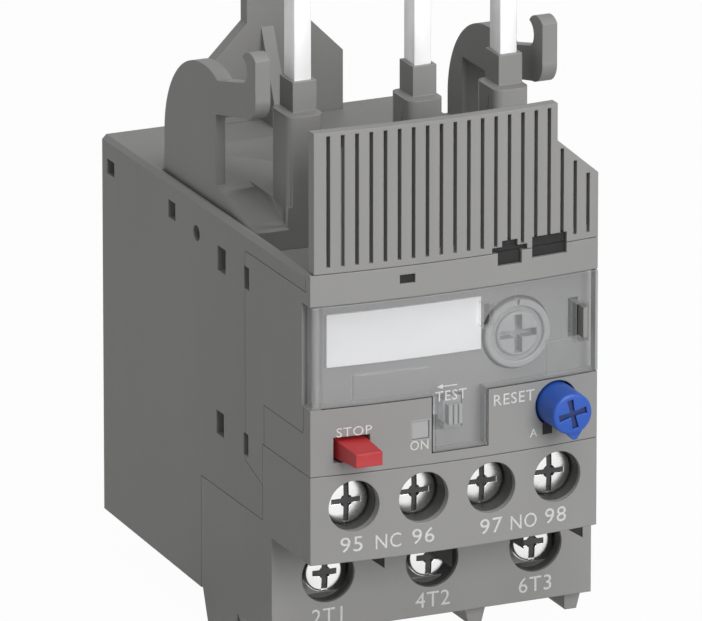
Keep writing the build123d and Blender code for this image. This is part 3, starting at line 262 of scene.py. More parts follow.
@dataclass(frozen=True)
class MouldedPlastic:
    """Spark-eroded moulding with soft edges that are a little worn.

    Attributes:
        name: Name of the finish.
        colour: Plain colour.
        roughness: Roughness of the flat surface.
        grain: Size of the eroded texture in metres.
        depth: Depth of that texture in metres.
        edge: Radius of the edges in metres.
        wear: How much lighter the edges are.
    """

    name: str
    colour: Colour
    roughness: float = 0.55
    grain: float = 0.00022
    depth: float = 0.000012
    edge: float = 0.00018
    wear: float = 0.22

    def build(self) -> bpy.types.Material:
        """Builds the material."""
        graph = NodeGraph(self.name)
        normal, mask = graph.rounding(self.edge)
        fine = graph.noise(1.0 / self.grain, 3.0)
        flow = graph.noise(70.0, 3.0, (1.0, 1.0, 0.35))
        rubbed = graph.noise(420.0, 4.0)
        shade = graph.span(flow, 0.3, 0.7, (0.965, 1.035))
        body = graph.tint(self.colour, shade)
        lighter = tuple(min(1.0, c * (1.0 + self.wear) + 0.01) for c in self.colour)
        patches = graph.span(rubbed, 0.35, 0.65, (0.25, 1.0))
        worn = graph.add("Math", {"operation": "MULTIPLY"}, i0=mask, i1=patches)
        colour = graph.blend(worn.outputs[0], body, lighter)
        speck = graph.span(fine, 0.3, 0.7, (self.roughness + 0.06, self.roughness - 0.06))
        shader = graph.add("BsdfPrincipled", Base_Color=colour, Roughness=speck, IOR=1.5,
                           Normal=graph.bump(fine, self.depth, normal))
        return graph.close(shader.outputs[0])


@dataclass(frozen=True)
class PlatedMetal:
    """Plated or bare metal with fine drawn lines, small stains, and edges painted brighter as a painted
    highlight.

    Attributes:
        name: Name of the finish.
        colour: Colour of the metal.
        roughness: Roughness of the polished parts.
        lines: Stretch of the drawn lines along each axis.
        depth: Depth of the lines in metres.
        stain: How much darker the stains are.
        edge: Radius of the edges in metres.
        metallic: Share of the light that it reflects as a metal does.
    """

    name: str
    colour: Colour
    roughness: float = 0.25
    lines: Point = (1.0, 1.0, 0.04)
    depth: float = 0.000004
    stain: float = 0.12
    edge: float = 0.0001
    metallic: float = 1.0

    def build(self) -> bpy.types.Material:
        """Builds the material."""
        graph = NodeGraph(self.name)
        normal, mask = graph.rounding(self.edge)
        drawn = graph.noise(9000.0, 2.0, self.lines)
        cloud = graph.noise(260.0, 4.0)
        shade = graph.span(cloud, 0.35, 0.7, (1.0, 1.0 - self.stain))
        body = graph.tint(self.colour, shade)
        # The edges are painted 12% brighter than the metal: a painted highlight.
        edge_highlight = tuple(min(1.0, c * 1.12) for c in self.colour)
        colour = graph.blend(mask, body, edge_highlight)
        rough = graph.span(cloud, 0.3, 0.75, (self.roughness, self.roughness + 0.18))
        shader = graph.add("BsdfPrincipled", Base_Color=colour, Metallic=self.metallic, Roughness=rough,
                           Normal=graph.bump(drawn, self.depth, normal))
        return graph.close(shader.outputs[0])


@dataclass(frozen=True)
class ClearPlastic:
    """Clear moulding with a faint haze and faint flow lines, and edges made more opaque as a painted
    highlight.

    Attributes:
        name: Name of the finish.
        colour: Tint of the haze.
        haze: Share of the haze over what lies behind.
    """

    name: str
    colour: Colour
    haze: float = 0.15

    def build(self) -> bpy.types.Material:
        """Builds the material."""
        graph = NodeGraph(self.name)
        normal, mask = graph.rounding(0.00022)
        flow = graph.noise(120.0, 3.0, (0.4, 1.0, 1.0))
        veil = graph.span(flow, 0.3, 0.7, (self.haze * 0.85, self.haze * 1.15))
        # The haze is thickened by the edge mask: a painted highlight that makes the edges bright.
        rim = graph.add("Math", {"operation": "MULTIPLY_ADD", "use_clamp": True}, i0=mask, i1=0.35, i2=veil)
        shader = graph.add("BsdfPrincipled", Base_Color=(*self.colour, 1.0), Roughness=0.14, IOR=1.58,
                           Alpha=rim.outputs[0], Normal=graph.bump(flow, 0.00004, normal))
        return graph.close(shader.outputs[0])


@dataclass(frozen=True)
class PrintedInk:
    """Pad-printed ink, a little thin in places.

    Attributes:
        name: Name of the finish.
        colour: Colour of the ink.
        thin: Colour where it is thin.
    """

    name: str
    colour: Colour
    thin: Colour

    def build(self) -> bpy.types.Material:
        """Builds the material."""
        graph = NodeGraph(self.name)
        patch = graph.span(graph.noise(5200.0, 3.0), 0.35, 0.6, (0.0, 1.0))
        colour = graph.blend(patch, self.thin, self.colour)
        fine = graph.noise(9000.0, 2.0)
        flat = graph.add("NewGeometry").outputs["Normal"]
        shader = graph.add("BsdfPrincipled", Base_Color=colour, Roughness=0.6,
                           Normal=graph.bump(fine, 0.000004, flat))
        return graph.close(shader.outputs[0])


@dataclass(frozen=True)
class LabelStock:
    """White label with a paper grain, and painted shade that greys its borders.

    Attributes:
        name: Name of the finish.
        colour: Colour of the stock.
    """

    name: str
    colour: Colour

    def build(self) -> bpy.types.Material:
        """Builds the material."""
        graph = NodeGraph(self.name)
        normal, mask = graph.rounding(0.00012)
        fibre = graph.noise(3200.0, 4.0, (1.0, 1.0, 0.3))
        body = graph.tint(self.colour, graph.span(fibre, 0.3, 0.7, (0.985, 1.01)))
        # The borders are darkened to 82% of the stock: painted shade from the recess round the label.
        colour = graph.blend(mask, body, tuple(c * 0.82 for c in self.colour))
        shader = graph.add("BsdfPrincipled", Base_Color=colour, Roughness=0.42,
                           Normal=graph.bump(fibre, 0.000004, normal))
        return graph.close(shader.outputs[0])


class Finishes:
    """All finishes of the relay, built once and found by slot."""

    def __init__(self) -> None:
        """Builds every material."""
        specs = {
            Slot.DARK_MOULDING: MouldedPlastic("grey_base_moulding", (0.250, 0.248, 0.242)),
            Slot.MOULDING: MouldedPlastic("grey_front_moulding", (0.262, 0.260, 0.253)),
            Slot.CLEAR_COVER: ClearPlastic("clear_cover_moulding", (0.58, 0.59, 0.60)),
            Slot.LABEL: LabelStock("white_label_stock", (0.94, 0.94, 0.95)),
            Slot.DIAL: MouldedPlastic("pale_grey_moulding", (0.36, 0.36, 0.36), roughness=0.45),
            Slot.STOP: MouldedPlastic("red_button_moulding", (0.44, 0.030, 0.036), 0.42, depth=0.000006),
            Slot.RESET: MouldedPlastic("blue_knob_moulding", (0.015, 0.085, 0.43), 0.40, depth=0.000006),
            Slot.INNER_BLACK: MouldedPlastic("black_inner_moulding", (0.022, 0.022, 0.023)),
            Slot.INNER_WHITE: MouldedPlastic("natural_inner_moulding", (0.66, 0.64, 0.58)),
            Slot.STEEL: PlatedMetal("zinc_plated_steel", (0.60, 0.60, 0.60), 0.32),
            Slot.SCREW: PlatedMetal("nickel_plated_screw", (0.93, 0.93, 0.92), 0.16, (1.0, 1.0, 1.0)),
            Slot.SILVER: PlatedMetal("tinned_copper_bar", (0.92, 0.92, 0.93), 0.34, stain=0.05, metallic=0.3),
            Slot.HEATER: PlatedMetal("resistance_ribbon", (0.38, 0.35, 0.31), 0.38),
            Slot.BRASS: PlatedMetal("brass_contact_strip", (0.72, 0.55, 0.28), 0.28),
        }
        self.by_slot = {slot: spec.build() for slot, spec in specs.items()}
        self.ink = PrintedInk("pale_print", (0.66, 0.66, 0.65), (0.50, 0.50, 0.49)).build()
        # Near black: painted shade in slots, wells, notches and on the lug's flank, and the dark seam lines
        # round the cover and its tab.
        self.shadow = MouldedPlastic("painted_shade_and_seam_moulding", (0.013, 0.013, 0.013), 0.8).build()
        self.dusk = MouldedPlastic("shaded_way_moulding", (0.060, 0.060, 0.058), 0.7).build()
        # Dark blue: painted shade on the floors of the reset knob's cross.
        self.blue_recess_shade = MouldedPlastic("blue_recess_painted_shade", (0.006, 0.022, 0.12), 0.5).build()
        self.frosted = MouldedPlastic("frosted_cover_edge", (0.34, 0.345, 0.35), 0.5).build()
        # Dark metal: painted shade on the floors of the screws' slot and cross.
        self.recess = PlatedMetal("shaded_screw_recess", (0.07, 0.07, 0.07), 0.5, metallic=0.6).build()
        self.faint = PrintedInk("faint_print", (0.34, 0.34, 0.34), (0.30, 0.30, 0.30)).build()
        self.seam = MouldedPlastic("moulding_seam_line", (0.105, 0.104, 0.102), 0.6, edge=0.00002).build()
        self.marker = MouldedPlastic("white_marker_moulding", (0.80, 0.80, 0.82), 0.45).build()

    def __getitem__(self, slot: Slot) -> bpy.types.Material:
        """Material of one slot."""
        return self.by_slot[slot]


class Workshop:
    """Mesh tools shared by the sub-assemblies. All sizes are in millimetres."""

    def __init__(self, finishes: Finishes) -> None:
        """Keeps the finishes."""
        self.finishes = finishes

    def make(self, name: str, mesh: bmesh.types.BMesh) -> bpy.types.Object:
        """Turns a bmesh into an object.

        Args:
            name: Name of the piece.
            mesh: Its geometry, which is freed.

        Returns:
            The new object.
        """
        bmesh.ops.recalc_face_normals(mesh, faces=mesh.faces)
        data = bpy.data.meshes.new(name)
        mesh.to_mesh(data)
        mesh.free()
        piece = bpy.data.objects.new(name, data)
        bpy.context.scene.collection.objects.link(piece)
        return piece

    def copy_of(self, node: str, name: str) -> bpy.types.Object:
        """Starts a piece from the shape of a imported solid.

        Args:
            node: Solid that it stands for.
            name: Name of the piece.

        Returns:
            The piece, with the solid's faces joined at their corners.
        """
        mesh = bmesh.new()
        mesh.from_mesh(frame["nodes"][node].data)
        bmesh.ops.transform(mesh, matrix=Matrix.Scale(1.0 / MM, 4), verts=mesh.verts)
        bmesh.ops.remove_doubles(mesh, verts=mesh.verts, dist=WELD)
        return self.make(name, mesh)

    def sweep(self, name: str, rings: Sequence[Sequence[Point]]) -> bpy.types.Object:
        """Skins a row of rings and closes both ends.

        Args:
            name: Name of the piece.
            rings: Corners of each ring, in the same order in all of them.

        Returns:
            The closed piece.
        """
        mesh = bmesh.new()
        loops = [[mesh.verts.new(corner) for corner in ring] for ring in rings]
        mesh.faces.new(loops[0])
        mesh.faces.new(loops[-1])
        for near, far in zip(loops, loops[1:]):
            for k, corner in enumerate(near):
                after = (k + 1) % len(near)
                mesh.faces.new((corner, near[after], far[after], far[k]))
        return self.make(name, mesh)

    def prism(self, name: str, outline: Sequence[Point], along: Point) -> bpy.types.Object:
        """Makes a prism from an outline.

        Args:
            name: Name of the piece.
            outline: Corners of one end, in order.
            along: Offset of the other end.

        Returns:
            The prism.
        """
        return self.sweep(name, [outline, [Vector(corner) + Vector(along) for corner in outline]])

    def box(self, name: str, low: Point, high: Point, taper: float = 0.0) -> bpy.types.Object:
        """Makes a block, which may narrow towards its front.

        Args:
            name: Name of the piece.
            low: Lowest corner.
            high: Highest corner.
            taper: How far the sides lean in at the lowest Y.

        Returns:
            The block.
        """
        rings = []
        for y, lean in ((high[1], 0.0), (low[1], taper)):
            left, right, foot, top = low[0] + lean, high[0] - lean, low[2] + lean, high[2] - lean
            rings.append([(left, y, foot), (right, y, foot), (right, y, top), (left, y, top)])
        return self.sweep(name, rings)

    def lathe(self, name: str, profile: Sequence[tuple[float, float]], centre: tuple[float, float],
              segments: int = 48) -> bpy.types.Object:
        """Turns a profile about an axis along Y.

        Args:
            name: Name of the piece.
            profile: Points (radius, y) from front to rear; the first and last are on the axis.
            centre: X and Z of the axis.
            segments: Steps around the axis.

        Returns:
            The turned piece.
        """
        mesh = bmesh.new()
        tips = [mesh.verts.new((centre[0], y, centre[1])) for y in (profile[0][1], profile[-1][1])]
        rings = []
        for radius, y in profile[1:-1]:
            ring = []
            for k in range(segments):
                angle = 2.0 * math.pi * k / segments
                ring.append(mesh.verts.new((centre[0] + radius * math.cos(angle), y,
                                            centre[1] + radius * math.sin(angle))))
            rings.append(ring)
        for k in range(segments):
            after = (k + 1) % segments
            mesh.faces.new((tips[0], rings[0][k], rings[0][after]))
            mesh.faces.new((tips[1], rings[-1][after], rings[-1][k]))
            for front, rear in zip(rings, rings[1:]):
                mesh.faces.new((front[k], rear[k], rear[after], front[after]))
        return self.make(name, mesh)

    def apply(self, piece: bpy.types.Object) -> None:
        """Bakes a piece's modifiers into its mesh."""
        graph = bpy.context.evaluated_depsgraph_get()
        data = bpy.data.meshes.new_from_object(piece.evaluated_get(graph))
        old = piece.data
        piece.modifiers.clear()
        piece.data = data
        bpy.data.meshes.remove(old)

    def combine(self, piece: bpy.types.Object, tools: Iterable[bpy.types.Object],
                operation: str = "DIFFERENCE") -> None:
        """Cuts tools out of a piece, or joins them to it.

        Args:
            piece: Piece to change.
            tools: Other meshes, which are removed.
            operation: Blender's name of the operation.
        """
        tools = list(tools)
        for tool in tools:
            step = piece.modifiers.new("cut", "BOOLEAN")
            step.operation = operation
            step.solver = "EXACT"
            step.object = tool
        self.apply(piece)
        for tool in tools:
            bpy.data.objects.remove(tool)

    def soften(self, piece: bpy.types.Object, width: float, segments: int = 3, angle: float = 35.0) -> None:
        """Rounds a piece's sharp edges.

        Args:
            piece: Piece to change.
            width: Width of the rounding.
            segments: Steps across it.
            angle: Smallest angle of an edge that is rounded, in degrees.
        """
        step = piece.modifiers.new("edges", "BEVEL")
        step.width = width
        step.segments = segments
        step.limit_method = "ANGLE"
        step.angle_limit = math.radians(angle)
        step.harden_normals = False
        self.apply(piece)

    def put(self, piece: bpy.types.Object, body: str, slot: Slot, *stands_for: str,
            material: bpy.types.Material | None = None, smooth: float = 30.0) -> bpy.types.Object:
        """Scales a piece to metres, dresses it and hangs it on its body.

        Args:
            piece: Piece in millimetres.
            body: Body that carries it.
            slot: Slot that its finish comes from.
            *stands_for: Solids that it replaces.
            material: Finish, where it isn't the slot's own.
            smooth: Largest angle in degrees that is shaded smooth.

        Returns:
            The piece.
        """
        data = piece.data
        data.transform(Matrix.Scale(MM, 4))
        data.materials.clear()
        data.materials.append(material or self.finishes[slot])
        for face in data.polygons:
            face.use_smooth = True
            face.material_index = 0
        data.set_sharp_from_angle(angle=math.radians(smooth))
        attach(piece, body)
        if stands_for:
            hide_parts(*stands_for)
        return piece


@dataclass
class Panel:
    """Convex front face of the upper module.

    Attributes:
        left: X of its left edge.
        width: Width.
        sag: How far its middle stands in front of its edges.
        corner_y: Y of its edges.
    """

    left: float
    width: float = MODULE_WIDTH
    sag: float = MODULE_SAG
    corner_y: float = MODULE_CORNER_Y

    @property
    def middle(self) -> float:
        """X of the middle."""
        return self.left + self.width / 2.0

    @property
    def radius(self) -> float:
        """Radius of the face."""
        return ((self.width / 2.0) ** 2 + self.sag ** 2) / (2.0 * self.sag)

    def y_at(self, x: float, depth: float = 0.0) -> float:
        """Y of the face at x, that far below its surface."""
        centre = self.corner_y + math.sqrt(self.radius ** 2 - (self.width / 2.0) ** 2)
        return centre - math.sqrt((self.radius - depth) ** 2 - (x - self.middle) ** 2)

    def strip(self, shop: Workshop, name: str, x: tuple[float, float], z: tuple[float, float],
              depths: tuple[float, float]) -> bpy.types.Object:
        """Makes a thin strip that follows the face.

        Args:
            shop: Mesh tools.
            name: Name of the piece.
            x: Its two sides.
            z: Its foot and its top.
            depths: Depth of its front and of its rear below the face.

        Returns:
            The strip.
        """
        steps = max(1, round(abs(x[1] - x[0]) / 1.5))
        stations = [x[0] + (x[1] - x[0]) * k / steps for k in range(steps + 1)]
        front = [(at, self.y_at(at, depths[0]), z[0]) for at in stations]
        rear = [(at, self.y_at(at, depths[1]), z[0]) for at in reversed(stations)]
        return shop.prism(name, front + rear, (0.0, 0.0, z[1] - z[0]))


def extent(node: str) -> tuple[Vector, Vector]:
    """Lowest and highest corners of a solid in millimetres."""
    low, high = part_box(node)
    return low / MM, high / MM


@dataclass
class Lettering:
    """Plain function words and terminal numbers printed on the front.

    Attributes:
        shop: Mesh tools.
        panel: Face of the upper module.
        low_face_y: Y of the lower block's face.
        raised: Thickness of the print.
    """

    shop: Workshop
    panel: Panel
    low_face_y: float
    raised: float = 0.03
    words: tuple = (
        ("STOP", -16.7, 35.55, 1.3, 1.08, "relay"),
        ("ON", -7.85, 32.65, 1.3, 0.92, "relay"),
        ("TEST", -3.55, 38.8, 1.4, 1.0, "cover"),
        ("RESET", 5.35, 37.15, 1.55, 1.0, "relay"),
        ("A", 8.2, 32.0, 1.15, 1.0, "relay"),
        ("95", -17.0, 20.5, 2.1, 1.1, "relay"),
        ("NC", -12.1, 20.4, 2.0, 0.9, "relay"),
        ("96", -7.3, 20.5, 2.1, 1.1, "relay"),
        ("97", 2.15, 20.5, 2.1, 1.1, "relay"),
        ("NO", 6.8, 20.4, 2.0, 0.9, "relay"),
        ("98", 11.45, 20.5, 2.1, 1.1, "relay"),
    )
    low_words: tuple = (("2T1", -14.5, 6.6, 2.15), ("4T2", 0.1, 6.75, 2.15), ("6T3", 14.6, 6.75, 2.15))

    def word(self, name: str, text: str, centre: tuple[float, float], height: float,
             face: Panel | float, width: float = 1.0, proud: float = 0.0) -> bpy.types.Object:
        """Makes one printed word.

        Args:
            name: Name of the piece.
            text: What it says.
            centre: X and Z of its middle.
            height: Height of a capital.
            face: Curved panel, or the Y of a flat face.
            width: How much wider than usual the letters are.
            proud: How far the printed surface stands in front of the panel.

        Returns:
            The word as a mesh in millimetres.
        """
        curve = bpy.data.curves.new(name, "FONT")
        curve.body = text
        curve.size = height / 0.73
        curve.align_x = "CENTER"
        curve.extrude = self.raised
        curve.space_character = 1.08
        curve.resolution_u = 3
        source = bpy.data.objects.new(name, curve)
        bpy.context.scene.collection.objects.link(source)
        graph = bpy.context.evaluated_depsgraph_get()
        data = bpy.data.meshes.new_from_object(source.evaluated_get(graph))
        bpy.data.objects.remove(source)
        for vertex in data.vertices:
            x = centre[0] + vertex.co.x * width
            z = centre[1] + vertex.co.y - height / 2.0
            surface = face.y_at(x, -proud) if isinstance(face, Panel) else face
            vertex.co = (x, surface - vertex.co.z, z)
        piece = bpy.data.objects.new(name, data)
        bpy.context.scene.collection.objects.link(piece)
        return piece

    def build(self) -> int:
        """Prints every word.

        Returns:
            Number of pieces.
        """
        ink = self.shop.finishes.ink
        for text, x, z, height, width, body in self.words:
            proud = COVER_PROUD if body == "cover" else 0.0
            piece = self.word(f"print_{text.lower()}", text, (x, z), height, self.panel, width, proud)
            self.shop.put(piece, body, Slot.LABEL, material=ink)
        for text, x, z, height in self.low_words:
            piece = self.word(f"print_{text.lower()}", text, (x, z), height, self.low_face_y)
            self.shop.put(piece, "relay", Slot.LABEL, material=ink)
        return len(self.words) + len(self.low_words)


@dataclass
class TerminalScrew:
    """Plated screw with a slot, a cross recess and a rolled thread.

    Attributes:
        shop: Mesh tools.
        node: Solid that it stands for.
        head_high: Height of the head.
        shank_radius: Outside radius of the thread.
        pitch: Rise of the thread in one turn.
        slot_wide: Width of the slot.
        slot_deep: Depth of the slot.
        cross_deep: Depth of the cross recess.
        cross_draft: Size of the cross at its floor, over its size at the front.
        swell: Radius of the head, over that of its solid.
        sink: How far the head's front stands behind its solid's.
        crown: Rise of the head's front.
        rim: Radius of the head's rounded rim.
    """

    shop: Workshop
    node: str
    head_high: float = 2.2
    shank_radius: float = 2.0
    pitch: float = 0.7
    slot_wide: float = 0.85
    slot_deep: float = 0.8
    cross_deep: float = 1.5
    cross_draft: float = 0.62
    swell: float = 1.0
    sink: float = 0.0
    crown: float = 0.16
    rim: float = 0.45

    def build(self) -> bpy.types.Object:
        """Builds the screw in place of its solid."""
        low, high = extent(self.node)
        centre = ((low.x + high.x) / 2.0, (low.z + high.z) / 2.0)
        radius = (high.x - low.x) / 2.0 * self.swell
        front, tip = low.y + self.sink, high.y
        piece = self.head(centre, radius, front, tip)
        self.cut_drive(piece, centre, radius, front)
        self.shop.soften(piece, 0.07, 2, 40.0)
        self.shade_drive(centre, radius, front)
        thread = self.thread(centre, front + self.head_high + 0.25, tip - 0.2)
        self.shop.combine(piece, [thread], "UNION")
        return self.shop.put(piece, self.node, Slot.SCREW, self.node)

    def head(self, centre: tuple[float, float], radius: float, front: float,
             tip: float) -> bpy.types.Object:
        """Turns the head and the core of the shank.

        Args:
            centre: X and Z of the axis.
            radius: Radius of the head.
            front: Y of the head's front.
            tip: Y of the shank's end.

        Returns:
            The turned blank.
        """
        crown, rim = self.crown, self.rim
        core = self.shank_radius - 0.28
        back = front + self.head_high
        profile = [(0.0, front), (radius * 0.4, front + crown * 0.12),
                   (radius * 0.7, front + crown * 0.5)]
        for k in range(6):
            angle = math.radians(90.0 * k / 5.0)
            profile.append((radius - rim + rim * math.sin(angle),
                            front + crown + rim - rim * math.cos(angle)))
        profile += [(radius, back - 0.1), (radius - 0.1, back), (core, back), (core, tip - 0.3),
                    (core - 0.3, tip), (0.0, tip)]
        return self.shop.lathe(self.node + "_plated", profile, centre)

    def cut_drive(self, piece: bpy.types.Object, centre: tuple[float, float], radius: float,
                  front: float) -> None:
        """Cuts the upright slot and the tapered cross recess.

        Args:
            piece: The blank.
            centre: X and Z of the axis.
            radius: Radius of the head.
            front: Y of the head's front.
        """
        x, z = centre
        half = self.slot_wide / 2.0
        reach = radius * 0.72
        tools = [self.shop.box("slot", (x - half, front - 1.0, z - radius - 1.0),
                               (x + half, front + self.slot_deep, z + radius + 1.0))]
        for wide, high in ((reach, half * 1.05), (half * 1.05, reach)):
            arm = self.shop.box("arm", (x - wide, front - 0.5, z - high),
                                (x + wide, front + self.cross_deep, z + high))
            for vertex in arm.data.vertices:
                if vertex.co.y > front:
                    vertex.co.x = x + (vertex.co.x - x) * self.cross_draft
                    vertex.co.z = z + (vertex.co.z - z) * self.cross_draft
            tools.append(arm)
        deep = front + self.cross_deep
        profile = [(0.0, front - 0.5), (0.95, front - 0.5), (0.55, deep + 0.1), (0.0, deep + 0.2)]
        tools.append(self.shop.lathe("core", profile, centre, 24))
        self.shop.combine(piece, tools)

    def shade_drive(self, centre: tuple[float, float], radius: float, front: float) -> None:
        """Lays dark plates on the floors of the slot and of the cross recess, as painted shade.

        Args:
            centre: X and Z of the axis.
            radius: Radius of the head.
            front: Y of the head's front.
        """
        x, z = centre
        half = self.slot_wide / 2.0
        reach = radius * 0.64
        floors = (("slot", half, radius - 0.35, front + 0.55), ("arm_1", reach, half, front + 0.28),
                  ("arm_2", half * 0.96, reach, front + 0.29))
        for name, wide, high, y in floors:
            floor = self.shop.box(f"{self.node}_{name}", (x - wide, y, z - high),
                                  (x + wide, y + 0.1, z + high))
            self.shop.put(floor, self.node, Slot.SCREW, material=self.shop.finishes.recess)

    def thread(self, centre: tuple[float, float], start: float, end: float) -> bpy.types.Object:
        """Makes the rolled thread as one closed ridge.

        Args:
            centre: X and Z of the axis.
            start: Y where it starts.
            end: Y where it ends.

        Returns:
            The ridge.
        """
        steps = 18
        turns = max(1.0, (end - start) / self.pitch - 1.0)
        root = self.shank_radius - 0.34
        section = ((root, -0.36), (self.shank_radius, -0.06), (self.shank_radius, 0.06), (root, 0.36))
        rings = []
        for k in range(int(turns * steps) + 1):
            angle = 2.0 * math.pi * k / steps
            y = start + self.pitch * (0.5 + k / steps)
            rings.append([(centre[0] + r * math.cos(angle), y + dy * self.pitch,
                           centre[1] + r * math.sin(angle)) for r, dy in section])
        return self.shop.sweep("thread", rings)


@dataclass
class ResetKnob:
    """Blue knob with a flared cross recess and a pointer.

    Attributes:
        shop: Mesh tools.
        node: Solid that it stands for.
        radius: Radius of the knob.
        rim: Radius of its rounded rim.
        bore: Radius and depth of the hole for its stem.
        ear: Corners of the pointer, from the axis.
        cross: Corners of one arm of the cross, along it and across it.
        directions: Angles of the arms in degrees.
    """

    shop: Workshop
    node: str = "reset_knob"
    radius: float = 2.8
    rim: float = 0.38
    bore: tuple[float, float] = (1.36, 4.3)
    ear: tuple = ((-1.0, -2.3), (0.15, -3.5), (0.65, -3.5), (1.7, -2.0))
    cross: tuple = ((-1.95, -0.44), (-0.6, -0.34), (0.6, -0.34), (1.95, -0.44),
                    (1.95, 0.44), (0.6, 0.34), (-0.6, 0.34), (-1.95, 0.44))
    directions: tuple[float, float] = (12.0, 102.0)

    def build(self) -> bpy.types.Object:
        """Builds the knob in place of its solid."""
        low, high = extent(self.node)
        x = (low.x + high.x) / 2.0
        z = high.z - self.radius
        front, rear = low.y, high.y
        rim = self.rim
        profile = [(0.0, front)]
        for k in range(6):
            angle = math.radians(90.0 * k / 5.0)
            profile.append((self.radius - 0.06 - rim + rim * math.sin(angle),
                            front + rim - rim * math.cos(angle)))
        profile += [(self.radius, rear - 0.4), (self.radius, rear), (0.0, rear)]
        knob = self.shop.lathe("reset_knob_moulding", profile, (x, z), 64)
        corners = [(x + dx, front + 0.3, z + dz) for dx, dz in self.ear]
        self.shop.combine(knob, [self.shop.prism("ear", corners, (0.0, 1.1, 0.0))], "UNION")
        tools = [self.arm(x, z, front, math.radians(angle)) for angle in self.directions]
        hole, deep = self.bore
        profile = [(0.0, rear + 1.0), (hole, rear + 1.0), (hole, rear - deep), (0.0, rear - deep)]
        tools.append(self.shop.lathe("bore", profile, (x, z), 32))
        self.shop.combine(knob, tools)
        self.shop.soften(knob, 0.09, 2, 40.0)
        # Dark blue plates on the floors of the cross are painted shade.
        for k, angle in enumerate(self.directions):
            floor = self.arm(x, z, front, math.radians(angle), (0.3 + 0.02 * k, 0.5))
            floor.name = f"reset_cross_floor_{k + 1}"
            self.shop.put(floor, "reset_turn", Slot.RESET, material=self.shop.finishes.blue_recess_shade)
        return self.shop.put(knob, "reset_turn", Slot.RESET, self.node)

    def arm(self, x: float, z: float, front: float, angle: float,
            depths: tuple[float, float] = (-0.5, 1.1)) -> bpy.types.Object:
        """Makes one flared arm of the cross.

        Args:
            x: X of the axis.
            z: Z of the axis.
            front: Y of the knob's front.
            angle: Direction of the arm.
            depths: Where it starts and ends behind the knob's front.

        Returns:
            The arm.
        """
        turn, lift = math.cos(angle), math.sin(angle)
        corners = [(x + u * turn - v * lift, front + depths[0], z + u * lift + v * turn)
                   for u, v in self.cross]
        return self.shop.prism("arm", corners, (0.0, depths[1] - depths[0], 0.0))


@dataclass
class StopButton:
    """Red push button with soft edges, a sloping brow and a slightly dished front.

    Attributes:
        shop: Mesh tools.
        node: Solid that it stands for.
        foot_lift: How far the underside rises to the front.
        brow_drop: How far the top falls to the front.
        side_draft: How far the left side leans in to the front.
        flange_thick: Thickness of the flange inside the housing.
    """

    shop: Workshop
    node: str = "stop_button"
    foot_lift: float = 0.4
    brow_drop: float = 0.75
    side_draft: float = 0.8
    flange_thick: float = 1.2

    def build(self) -> bpy.types.Object:
        """Builds the button in place of its solid."""
        low, high = extent(self.node)
        middle = (low + high) / 2.0
        half_x = (high.x - low.x) / 2.0 - 0.8
        half_z = (high.z - low.z) / 2.0 - 0.5
        stem = self.shop.box("stop_button_moulding", (middle.x - half_x, low.y, middle.z - half_z),
                             (middle.x + half_x, high.y, middle.z + half_z), 0.08)
        for vertex in stem.data.vertices:
            if vertex.co.y < middle.y:
                vertex.co.z += self.foot_lift if vertex.co.z < middle.z else -self.brow_drop
                vertex.co.x += self.side_draft if vertex.co.x < middle.x else 0.0
        flange = self.shop.box("flange", (low.x, high.y - self.flange_thick, low.z),
                               (high.x, high.y, high.z))
        self.shop.combine(stem, [flange], "UNION")
        profile = [(0.0, low.y - 1.0), (7.0, low.y - 1.0), (3.4, low.y - 0.05), (1.5, low.y + 0.09),
                   (0.0, low.y + 0.12)]
        dish = self.shop.lathe("dish", profile, (middle.x, middle.z), 48)
        away = Matrix.Translation((middle.x, 0.0, middle.z))
        flatten = Matrix.Scale(0.62, 4, (0.0, 0.0, 1.0))
        dish.data.transform(away @ flatten @ away.inverted())
        self.shop.combine(stem, [dish])
        self.shop.soften(stem, 0.16, 3, 40.0)
        return self.shop.put(stem, "stop", Slot.STOP, self.node)


